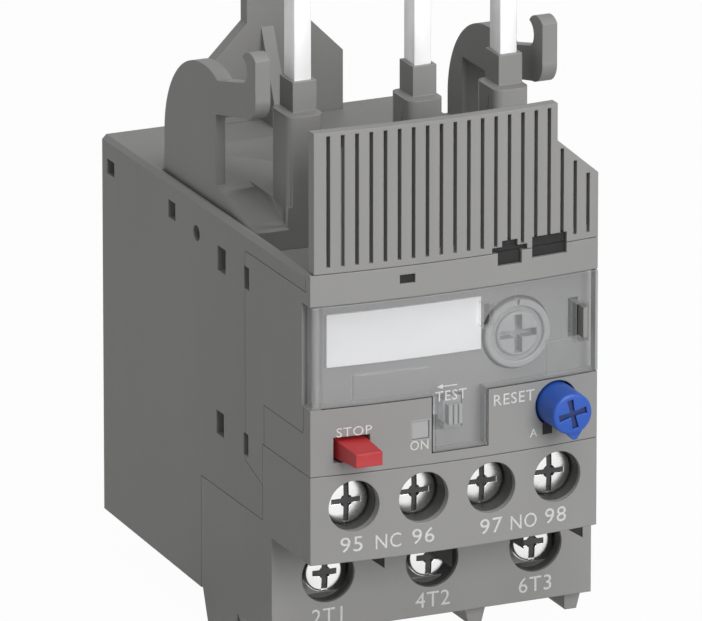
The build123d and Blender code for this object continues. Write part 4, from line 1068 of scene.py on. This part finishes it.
@dataclass
class HookCarrier:
    """Deck with its hooks and columns, cored and sloped as the moulding is.

    Attributes:
        shop: Mesh tools.
        node: Solid that it stands for.
        deck_z: Height of the deck.
        stem_front_y: Front of the hooks' stems.
        deck_front_y: Front edge of the deck.
        well_z: Floor of the well.
        ramp_drop: How far the deck falls beside the left column.
        stem_thick: Thickness of a hook's stem, which is cored on its inner side.
        arm_z: Height of the hook's arm above the opening in front of its stem.
        column_x: Sides of a column, from its bar's middle.
        column_top_z: Top of the columns.
        column_proud: How far a column's face stands in front of the deck.
        column_round: Radius of its upright edges.
        ramp_bend: Power by which the slope steepens.
    """

    shop: Workshop
    node: str = "hook_carrier"
    deck_z: float = 59.1
    stem_front_y: float = -33.7
    deck_front_y: float = -46.1
    well_z: float = 53.5
    ramp_drop: float = 3.2
    stem_thick: float = 1.3
    arm_z: float = 68.6
    column_x: tuple[float, float] = (-3.0, 1.9)
    column_top_z: float = 71.0
    column_proud: float = 0.2
    column_round: float = 1.2
    ramp_bend: float = 1.15

    def build(self) -> bpy.types.Object:
        """Builds the carrier in place of its solid."""
        low, high = extent(self.node)
        bars = [sum(corner.x for corner in extent(f"conductor_bar_{k}")) / 2.0 for k in (1, 2, 3)]
        piece = self.shop.copy_of(self.node, "hook_carrier_moulding")
        left_column = bars[0] + self.column_x[0]
        cuts = [self.ramp(low.x - 1.0, left_column)]
        for side in (low.x, high.x):
            inward = 1.0 if side == low.x else -1.0
            inner = (side + inward * self.stem_thick, side + inward * 3.0)
            cuts.append(self.shop.box("core", (min(inner), self.stem_front_y - 0.5, self.deck_z),
                                      (max(inner), self.stem_front_y + 12.0, self.arm_z - 0.6)))
        self.shop.combine(piece, cuts)
        self.shop.combine(piece, [self.column(x) for x in bars], "UNION")
        return self.shop.put(piece, "relay", Slot.DARK_MOULDING, self.node, smooth=12.0)

    def ramp(self, left: float, right: float) -> bpy.types.Object:
        """Makes the cutter that slopes the deck down beside the left column.

        Args:
            left: X of the slope's left side.
            right: X of its right side.

        Returns:
            The cutter.
        """
        steps = 8
        run = self.deck_front_y - 1.0 - self.stem_front_y
        outline = []
        for k in range(steps + 1):
            share = k / steps
            outline.append((left, self.stem_front_y + run * share,
                            self.deck_z - self.ramp_drop * share ** self.ramp_bend))
        outline += [(left, self.deck_front_y - 1.0, self.deck_z + 1.0),
                    (left, self.stem_front_y, self.deck_z + 1.0)]
        return self.shop.prism("ramp", outline, (right - left, 0.0, 0.0))

    def column(self, bar_x: float) -> bpy.types.Object:
        """Makes the face of one column, which goes down to the floor of the well.

        Args:
            bar_x: X of the bar's middle.

        Returns:
            The column's face.
        """
        left, right = (bar_x + side for side in self.column_x)
        front = self.deck_front_y - self.column_proud
        turn = self.column_round
        outline = [(left, front + 2.0), (left, front + turn)]
        for k in range(1, 6):
            angle = math.radians(18.0 * k)
            outline.append((left + turn - turn * math.cos(angle), front + turn - turn * math.sin(angle)))
        for k in range(6):
            angle = math.radians(18.0 * k)
            outline.append((right - turn + turn * math.sin(angle), front + turn - turn * math.cos(angle)))
        outline.append((right, front + 2.0))
        corners = [(x, y, self.well_z) for x, y in outline]
        return self.shop.prism("column", corners, (0.0, 0.0, self.column_top_z - self.well_z))


@dataclass
class ConductorBar:
    """Tinned bar with broken edges and a rounded end.

    Attributes:
        shop: Mesh tools.
        number: Pole that it belongs to.
        edge: Width of the broken edges.
    """

    shop: Workshop
    number: int
    edge: float = 0.14

    def build(self) -> bpy.types.Object:
        """Builds the bar in place of its solid."""
        node = f"conductor_bar_{self.number}"
        piece = self.shop.copy_of(node, f"tinned_bar_{self.number}")
        self.shop.soften(piece, self.edge, 3, 40.0)
        return self.shop.put(piece, "relay", Slot.SILVER, node)


@dataclass
class SettingDial:
    """Turned dial with a raised ring, a scale pointer and a cross recess.

    Attributes:
        shop: Mesh tools.
        node: Solid that it stands for.
        ring: Inner and outer radius of the raised ring.
        hub: Radius of the hub inside it.
        recess: Half length, half width and depth of the cross.
    """

    shop: Workshop
    node: str = "setting_dial"
    ring: tuple[float, float] = (3.6, 4.55)
    hub: float = 2.95
    recess: tuple[float, float, float] = (2.55, 0.52, 1.5)

    def build(self) -> bpy.types.Object:
        """Builds the dial in place of its solid."""
        low, top = extent(self.node)
        x, z = (low.x + top.x) / 2.0, (low.z + top.z) / 2.0
        front, tail = low.y, top.y
        back = front + 2.1
        inner, outer = self.ring
        profile = [(0.0, front), (self.hub - 0.25, front), (self.hub, front + 0.2), (self.hub, front + 0.55),
                   (inner, front + 0.55), (inner, front + 0.15), (inner + 0.15, front), (outer - 0.2, front),
                   (outer, front + 0.2), (outer, back), (1.55, back), (1.55, tail), (0.0, tail)]
        dial = self.shop.lathe("setting_dial_moulding", profile, (x, z), 72)
        reach, half, deep = self.recess
        cuts = [self.shop.box("arm", (x - wide, front - 0.5, z - high),
                              (x + wide, front + deep, z + high))
                for wide, high in ((reach, half), (half, reach))]
        mark = [(x - 0.35, front - 0.5, z + outer + 0.2), (x + 0.35, front - 0.5, z + outer + 0.2),
                (x, front - 0.5, z + inner + 0.1)]
        cuts.append(self.shop.prism("notch", mark, (0.0, 1.0, 0.0)))
        self.shop.combine(dial, cuts)
        return self.shop.put(dial, "dial", Slot.DIAL, self.node)


@dataclass
class RoundSpring:
    """Compression spring of round wire.

    Attributes:
        shop: Mesh tools.
        node: Solid that it stands for.
        joint: Joint that presses it together; not used.
        travel: How far that joint presses it; not used.
        wire: Radius of the wire.
        turns: Number of turns.
    """

    shop: Workshop
    node: str
    joint: str
    travel: float
    wire: float = 0.24
    turns: float = 6.0

    def build(self) -> bpy.types.Object:
        """Builds the spring in place of its solid."""
        low, high = extent(self.node)
        x, z = (low.x + high.x) / 2.0, (low.z + high.z) / 2.0
        radius = (high.x - low.x) / 2.0 - self.wire
        start, end = low.y + self.wire, high.y - self.wire
        steps, around = int(self.turns * 24), 10
        leans = [2.0 * math.pi * j / around for j in range(around)]
        rings = []
        for k in range(steps + 1):
            angle = 2.0 * math.pi * self.turns * k / steps
            y = start + (end - start) * k / steps
            rings.append([(x + (radius + self.wire * math.cos(lean)) * math.cos(angle),
                           y + self.wire * math.sin(lean),
                           z + (radius + self.wire * math.cos(lean)) * math.sin(angle)) for lean in leans])
        piece = self.shop.sweep(self.node + "_wire", rings)
        self.shop.put(piece, "relay", Slot.STEEL, self.node)
        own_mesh(piece)
        return piece


@dataclass
class SwingCover:
    """Clear cover with its moulded lines, catch and frosted free edge.

    Attributes:
        shop: Mesh tools.
        panel: Face of the upper module.
        node: Solid that it stands for.
        engraved: Depth of a moulded line.
        lines: Sides, and foot and top, of each moulded line.
    """

    shop: Workshop
    panel: Panel
    node: str = "window_cover"
    engraved: float = 0.35
    lines: tuple = (
        ((-17.0, -16.84), (39.5, 42.9)),
        ((-17.0, -6.4), (42.9, 43.06)),
        ((-5.75, -5.6), (31.7, 38.9)),
        ((1.3, 1.45), (31.7, 38.9)),
        ((9.9, 13.6), (39.4, 39.52)),
        ((9.9, 10.02), (39.4, 43.9)),
        ((9.9, 13.6), (43.8, 43.92)),
    )

    def build(self) -> bpy.types.Object:
        """Builds the cover in place of its solid."""
        piece = self.shop.copy_of(self.node, "clear_swing_cover")
        depths = (-COVER_PROUD - 0.5, self.engraved - COVER_PROUD)
        cuts = [self.panel.strip(self.shop, "line", x, z, depths) for x, z in self.lines]
        self.shop.combine(piece, cuts)
        catch = self.panel.strip(self.shop, "catch", (-22.1, -21.2), (39.7, 41.8), (-0.45, 0.2))
        self.shop.soften(catch, 0.12, 2)
        self.shop.combine(piece, [catch], "UNION")
        grip = self.panel.strip(self.shop, "frosted_grip", (17.12, 17.47), (38.98, 52.25),
                                (-COVER_PROUD - 0.02, 1.15))
        self.shop.put(grip, "cover", Slot.CLEAR_COVER, material=self.shop.finishes.frosted)
        return self.shop.put(piece, "cover", Slot.CLEAR_COVER, self.node, smooth=0.5)


@dataclass
class FrontTrim:
    """Printed marks, test slider, dark seam lines, and dark pieces of painted shade in the notches, slots,
    wells and screwdriver ways.

    Attributes:
        shop: Mesh tools.
        panel: Face of the upper module.
        flag: X and Z of the flag's window, and half its width.
        dial: X and Z of the dial's axis.
        recess_depth: Depth of the recess round the dial.
        notches: Left side, right side and tip of each notch in the lower block.
        shoulder_z: Where a notch's slope starts on its left.
        notch_top_z: Top of the notches.
        ticks: Number of ticks on the dial's scale.
        tick_radius: Distance of their inner ends from the dial's axis.
        way_radii: Radius of the auxiliary and of the main screwdriver ways.
        arrow_z: Height of the arrow on the cover's tab.
        shade_and_seam_strips: Name, sides, foot and top, and depth of each strip; the strips paint shade in
            the slots, the lug well and the mode slot, and draw the dark seams round the cover and its tab.
    """

    shop: Workshop
    panel: Panel
    flag: tuple[float, float, float] = (-7.7, 34.6, 1.2)
    dial: tuple[float, float] = (6.8, 44.9)
    recess_depth: float = 2.6
    notches: tuple = ((-9.3, -6.7, 11.8), (-1.0, 2.9, 10.4), (9.9, 13.0, 11.6), (18.6, 21.3, 12.0))
    shoulder_z: float = 13.8
    notch_top_z: float = 14.8
    ticks: int = 11
    tick_radius: float = 4.95
    way_radii: tuple[float, float] = (3.39, 3.69)
    arrow_z: float = 40.05
    shade_and_seam_strips: tuple = (
        ("status_slot_shade", (-10.53, -8.47), (54.32, 55.48), 0.35),
        ("clip_slot_shade_1", (3.02, 6.38), (54.92, 56.62), 0.5),
        ("clip_notch_shade_1", (2.22, 7.18), (56.72, 57.38), 0.5),
        ("clip_notch_shade_2", (3.62, 5.78), (57.38, 58.18), 0.5),
        ("clip_slot_shade_2", (7.92, 12.88), (55.32, 56.62), 0.5),
        ("clip_notch_shade_3", (7.92, 12.88), (56.72, 58.08), 0.5),
        ("lug_well_shade", (14.45, 15.28), (43.1, 48.1), 4.6),
        ("mode_slot_shade", (9.5, 10.9), (31.5, 33.2), -0.02),
        ("tab_seam_left", (-6.14, -6.03), (31.3, 38.88), -0.02),
        ("tab_seam_right", (1.63, 1.74), (31.3, 38.88), -0.02),
        ("tab_seam_foot", (-6.14, 1.74), (31.28, 31.38), -0.02),
        ("cover_seam_left", (-21.0, -6.03), (38.77, 38.87), -0.02),
        ("cover_seam_right", (1.63, 17.3), (38.77, 38.87), -0.02),
    )

    def build(self) -> int:
        """Builds every small piece.

        Returns:
            Number of pieces.
        """
        count = self.window_frame() + self.scale() + self.arrow()
        count += self.slider() + self.lug() + self.collars()
        shade = self.shop.finishes.shadow
        # Near-black strips: painted shade in the slots, the lug well and the mode slot, and dark seam lines
        # round the cover and its tab.
        for name, x, z, depth in self.shade_and_seam_strips:
            self.lay(name, x, z, (depth, depth + 0.3), shade, slot=Slot.INNER_BLACK)
        # Near-black plates in the notches of the lower block are painted shade.
        y = LOW_FACE_Y + 0.15
        for k, (left, right, tip_z) in enumerate(self.notches):
            outline = [(right, y, tip_z), (right, y, self.notch_top_z), (left, y, self.notch_top_z),
                       (left, y, self.shoulder_z)]
            piece = self.shop.prism(f"notch_painted_shade_{k + 1}", outline, (0.0, 0.35, 0.0))
            self.shop.put(piece, "relay", Slot.INNER_BLACK, material=shade)
        return count + len(self.shade_and_seam_strips) + len(self.notches)

    def lay(self, name: str, x: tuple[float, float], z: tuple[float, float], depths: tuple[float, float],
            material: bpy.types.Material, body: str = "relay", slot: Slot = Slot.LABEL) -> None:
        """Lays one strip on the face or below it.

        Args:
            name: Name of the piece.
            x: Its two sides.
            z: Its foot and its top.
            depths: Depth of its front and of its rear below the face.
            material: Its finish.
            body: Body that carries it.
            slot: Slot that it is listed under.
        """
        self.shop.put(self.panel.strip(self.shop, name, x, z, depths), body, slot, material=material)

    def window_frame(self) -> int:
        """Prints the pale frame round the window of the trip flag."""
        x, z, half = self.flag
        edge = half + 0.2
        bars = (((x - edge, x + edge), (z + half, z + edge)), ((x - edge, x + edge), (z - edge, z - half)),
                ((x - edge, x - half), (z - half, z + half)), ((x + half, x + edge), (z - half, z + half)))
        for k, (across, upright) in enumerate(bars):
            self.lay(f"print_frame_{k + 1}", across, upright, (-0.03, 0.0), self.shop.finishes.faint)
        return len(bars)

    def scale(self) -> int:
        """Prints the ticks round the setting dial on the floor of the recess."""
        x, z = self.dial
        for k in range(self.ticks):
            angle = math.radians(225.0 - 27.0 * k)
            reach = 0.9 if k % 5 == 0 else 0.55
            out = Vector((math.cos(angle), 0.0, math.sin(angle)))
            near = Vector((x, 0.0, z)) + out * self.tick_radius
            across = Vector((-out.z, 0.0, out.x)) * 0.08
            y = self.panel.y_at(near.x, self.recess_depth) - 0.03
            outline = [near - across, near + across, near + out * reach + across, near + out * reach - across]
            corners = [(p.x, y, p.z) for p in outline]
            piece = self.shop.prism(f"print_tick_{k + 1}", corners, (0.0, 0.05, 0.0))
            self.shop.put(piece, "relay", Slot.LABEL, material=self.shop.finishes.faint)
        return self.ticks

    def slider(self) -> int:
        """Builds the white index of the test slider and the ribbed grip beside it."""
        index = self.shop.box("test_index", (-5.75, -63.52, 34.95), (-3.55, -63.41, 37.4))
        self.shop.put(index, "relay", Slot.LABEL, material=self.shop.finishes.marker)
        flank = self.shop.box("test_flank", (-3.62, -65.5, 34.5), (-3.5, -63.66, 37.3))
        self.shop.put(flank, "test", Slot.LABEL, material=self.shop.finishes.marker)
        grip = self.panel.strip(self.shop, "test_grip", (-3.4, -1.5), (34.4, 37.0), (0.9, 2.0))
        grooves = [self.panel.strip(self.shop, "groove", (x, x + 0.25), (34.0, 37.5), (0.5, 1.2))
                   for x in (-2.9, -2.2)]
        self.shop.combine(grip, grooves)
        self.shop.put(grip, "test", Slot.DIAL)
        return 3

    def collars(self) -> int:
        """Builds the shaded collars inside the screwdriver ways."""
        reach = 2.9
        aux, main_way = self.way_radii
        ways = [(f"aux_screw_{k}", aux, self.panel.y_at(extent(f"aux_screw_{k}")[0].x + reach, 1.0))
                for k in range(1, 5)]
        ways += [(f"main_screw_{k}", main_way, LOW_FACE_Y + 0.45) for k in range(1, 4)]
        for node, radius, front in ways:
            low, high = extent(node)
            rear = low.y + 1.2
            centre = ((low.x + high.x) / 2.0, (low.z + high.z) / 2.0)
            inner = radius - 0.08
            ring = self.shop.lathe(node + "_collar", [(0.0, front), (radius, front), (radius, rear),
                                                      (0.0, rear)], centre)
            bore = self.shop.lathe("bore", [(0.0, front - 1.0), (inner, front - 1.0), (inner, rear + 1.0),
                                            (0.0, rear + 1.0)], centre)
            self.shop.combine(ring, [bore])
            self.shop.put(ring, "relay", Slot.INNER_BLACK, material=self.shop.finishes.dusk)
        return len(ways)

    def lug(self) -> int:
        """Builds the shaded flank of the lug that the cover snaps over."""
        self.lay("lug_flank", (15.22, 15.3), (43.7, 47.5), (1.4, 5.8), self.shop.finishes.shadow,
                 slot=Slot.INNER_BLACK)
        return 1

    def arrow(self) -> int:
        """Prints the arrow above the word on the cover's tab."""
        z = self.arrow_z
        self.lay("print_arrow_shaft", (-5.0, -2.7), (z - 0.07, z + 0.07), (-COVER_PROUD - 0.03, -COVER_PROUD),
                 self.shop.finishes.ink, "cover")
        y = self.panel.y_at(-5.2, -COVER_PROUD) - 0.03
        head = self.shop.prism("print_arrow_head", [(-5.5, y, z), (-4.7, y, z + 0.35), (-4.7, y, z - 0.35)],
                               (0.0, 0.03, 0.0))
        self.shop.put(head, "cover", Slot.LABEL, material=self.shop.finishes.ink)
        return 2


@dataclass
class SideSeams:
    """Moulded seam lines of the flap on the left side of the module.

    Attributes:
        shop: Mesh tools.
        half: Half the width of the relay.
        line: Width of a seam.
        points: Y and Z of the flap's corners.
    """

    shop: Workshop
    half: float = 22.5
    line: float = 0.14
    points: tuple = ((-51.9, 29.9), (-51.9, 35.2), (-64.0, 35.2), (-64.3, 36.0), (-64.3, 38.6))

    def build(self) -> int:
        """Builds the lines on the left side.

        Returns:
            Number of pieces.
        """
        half = self.line / 2.0
        for k, (start, end) in enumerate(zip(self.points, self.points[1:])):
            along = Vector((0.0, end[0] - start[0], end[1] - start[1])).normalized()
            across = Vector((0.0, -along.z, along.y)) * half
            first = Vector((-self.half - 0.01, start[0], start[1])) - along * half
            last = Vector((-self.half - 0.01, end[0], end[1])) + along * half
            outline = [first - across, first + across, last + across, last - across]
            piece = self.shop.prism(f"flap_seam_{k + 1}", [tuple(p) for p in outline], (0.03, 0.0, 0.0))
            self.shop.put(piece, "relay", Slot.MOULDING, material=self.shop.finishes.seam)
        return len(self.points) - 1


class Dresser:
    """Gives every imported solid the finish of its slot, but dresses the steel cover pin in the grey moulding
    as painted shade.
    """

    def __init__(self, finishes: Finishes) -> None:
        """Keeps the finishes."""
        self.finishes = finishes

    def dress(self) -> int:
        """Puts a finish on each solid.

        Returns:
            Number of solids.
        """
        slots = {part["node"]: part["material_slot"] for part in frame["record"]["subparts"]}
        for node, item in frame["nodes"].items():
            # The steel cover pin gets the grey moulding: painted shade over the metal.
            slot = Slot.MOULDING if node == "cover_pin" else Slot(slots[node])
            material = self.finishes[slot]
            if not item.material_slots:
                item.data.materials.append(material)
            for place in item.material_slots:
                place.material = material
        return len(frame["nodes"])


@dataclass
class Studio:
    """Floor, lamps, sky and camera.

    Attributes:
        ambient: Strength of the even light from all around.
        paint: Colour of the floor as a grey.
        glow: Share of white in the floor, as the camera, metal and glass see it.
        aim: Point that both lamps face.
        lamps: Name, place, width in metres and power in watts of each soft lamp.
    """

    ambient: float = 0.36
    paint: float = 0.40
    glow: float = 0.97
    aim: Point = (0.0, -0.03, 0.04)
    lamps: tuple = (("key", (0.22, -1.33, 0.5), 0.7, 12.2), ("top", (0.0, -0.65, 1.25), 0.8, 7.0))

    def sky(self) -> None:
        """Makes a sky that lights softly and is white to the camera, to metal and through glass."""
        world = bpy.data.worlds.new("studio")
        bpy.context.scene.world = world
        world.use_nodes = True
        tree = world.node_tree
        tree.nodes.clear()
        path = tree.nodes.new("ShaderNodeLightPath")
        seen = tree.nodes.new("ShaderNodeMath")
        seen.operation = "MAXIMUM"
        through = tree.nodes.new("ShaderNodeMath")
        through.operation = "MAXIMUM"
        strength = tree.nodes.new("ShaderNodeMapRange")
        strength.inputs[3].default_value = self.ambient
        strength.inputs[4].default_value = 1.0
        shade = tree.nodes.new("ShaderNodeBackground")
        out = tree.nodes.new("ShaderNodeOutputWorld")
        tree.links.new(path.outputs["Is Camera Ray"], seen.inputs[0])
        tree.links.new(path.outputs["Is Glossy Ray"], through.inputs[0])
        tree.links.new(path.outputs["Is Transmission Ray"], through.inputs[1])
        tree.links.new(through.outputs[0], seen.inputs[1])
        tree.links.new(seen.outputs[0], strength.inputs[0])
        tree.links.new(strength.outputs[0], shade.inputs["Strength"])
        tree.links.new(shade.outputs[0], out.inputs["Surface"])

    def floor(self) -> None:
        """Lays a plain floor, nearly white to the camera, on which no shadow can be made out."""
        graph = NodeGraph("pale_floor")
        path = graph.add("LightPath")
        paint = graph.add("BsdfPrincipled", Base_Color=(*[self.paint] * 3, 1.0), Roughness=0.7)
        glow = graph.add("Emission", Color=(1.0, 1.0, 1.0, 1.0), Strength=1.0)
        through = graph.add("Math", {"operation": "MAXIMUM"}, i0=path.outputs["Is Glossy Ray"],
                            i1=path.outputs["Is Transmission Ray"])
        seen = graph.add("Math", {"operation": "MAXIMUM"}, i0=path.outputs["Is Camera Ray"],
                         i1=through.outputs[0])
        share = graph.add("Math", {"operation": "MULTIPLY"}, i0=seen.outputs[0], i1=self.glow)
        mix = graph.add("MixShader", Fac=share.outputs[0], i1=paint.outputs[0], i2=glow.outputs[0])
        mesh = bmesh.new()
        bmesh.ops.create_grid(mesh, x_segments=1, y_segments=1, size=3.0)
        data = bpy.data.meshes.new("floor")
        mesh.to_mesh(data)
        mesh.free()
        data.materials.append(graph.close(mix.outputs[0]))
        plane = bpy.data.objects.new("floor", data)
        plane.location = (0.0, 0.0, -0.0002)
        bpy.context.scene.collection.objects.link(plane)

    def lamp(self, name: str, place: Point, size: float, power: float) -> None:
        """Hangs one soft square lamp.

        Args:
            name: Name of the lamp.
            place: Where it hangs, in metres.
            size: Width in metres.
            power: Power in watts.
        """
        light = bpy.data.lights.new(name, "AREA")
        light.size = size
        light.energy = power
        item = bpy.data.objects.new(name, light)
        item.location = place
        item.rotation_euler = (Vector(self.aim) - Vector(place)).to_track_quat("-Z", "Y").to_euler()
        bpy.context.scene.collection.objects.link(item)

    def camera(self) -> None:
        """Puts the camera where the photograph was taken from."""
        right = Vector((math.cos(CAMERA_AZIMUTH), -math.sin(CAMERA_AZIMUTH), 0.0))
        ahead = Vector((math.sin(CAMERA_AZIMUTH) * math.cos(CAMERA_ELEVATION),
                        math.cos(CAMERA_AZIMUTH) * math.cos(CAMERA_ELEVATION), -math.sin(CAMERA_ELEVATION)))
        up = right.cross(ahead)
        data = bpy.data.cameras.new("photo_camera")
        data.sensor_width = SENSOR
        data.lens = PIXELS_PER_MM * CAMERA_DISTANCE * SENSOR / PHOTO_WIDTH
        data.clip_start = 0.05
        data.clip_end = 20.0
        camera = bpy.data.objects.new("photo_camera", data)
        place = Vector(CAMERA_AIM) + CAMERA_SHIFT[0] * right + CAMERA_SHIFT[1] * up - CAMERA_DISTANCE * ahead
        camera.matrix_world = Matrix((
            (right.x, up.x, -ahead.x, place.x * MM),
            (right.y, up.y, -ahead.y, place.y * MM),
            (right.z, up.z, -ahead.z, place.z * MM),
            (0.0, 0.0, 0.0, 1.0),
        ))
        bpy.context.scene.collection.objects.link(camera)
        bpy.context.scene.camera = camera

    def build(self) -> None:
        """Sets up the whole studio."""
        scene = bpy.context.scene
        scene.view_settings.view_transform = "Standard"
        self.camera()
        self.sky()
        self.floor()
        for name, place, size, power in self.lamps:
            self.lamp(name, place, size, power)


def main() -> None:
    """Builds the looks, one sub-assembly after another."""
    logging.basicConfig(level=logging.INFO, format="%(name)s: %(message)s")
    Studio().build()
    log.info("studio ready")
    finishes = Finishes()
    shop = Workshop(finishes)
    log.info("finishes on %d solids", Dresser(finishes).dress())
    panel = Panel(left=extent("control_housing")[0].x)
    log.info("%d printed words", Lettering(shop, panel, LOW_FACE_Y).build())
    log.info("%d small pieces on the front", FrontTrim(shop, panel).build())
    log.info("%d seam lines on the side", SideSeams(shop).build())
    pieces = [HookCarrier(shop), SwingCover(shop, panel), SettingDial(shop)]
    pieces += [ConductorBar(shop, k) for k in (1, 2, 3)]
    pieces += [RoundSpring(shop, "stop_spring", "stop_press", travel=2.5),
               RoundSpring(shop, "reset_spring", "reset_press", travel=2.0)]
    pieces += [TerminalScrew(shop, f"aux_screw_{k}", shank_radius=1.75, pitch=0.6, slot_wide=0.72, swell=1.1)
               for k in range(1, 5)]
    pieces += [TerminalScrew(shop, f"main_screw_{k}", head_high=1.6, cross_deep=1.2, swell=0.87, sink=0.5)
               for k in range(1, 4)]
    pieces += [ResetKnob(shop), StopButton(shop)]
    for piece in pieces:
        log.info("%s", piece.build().name)


if __name__ == "__main__":
    main()
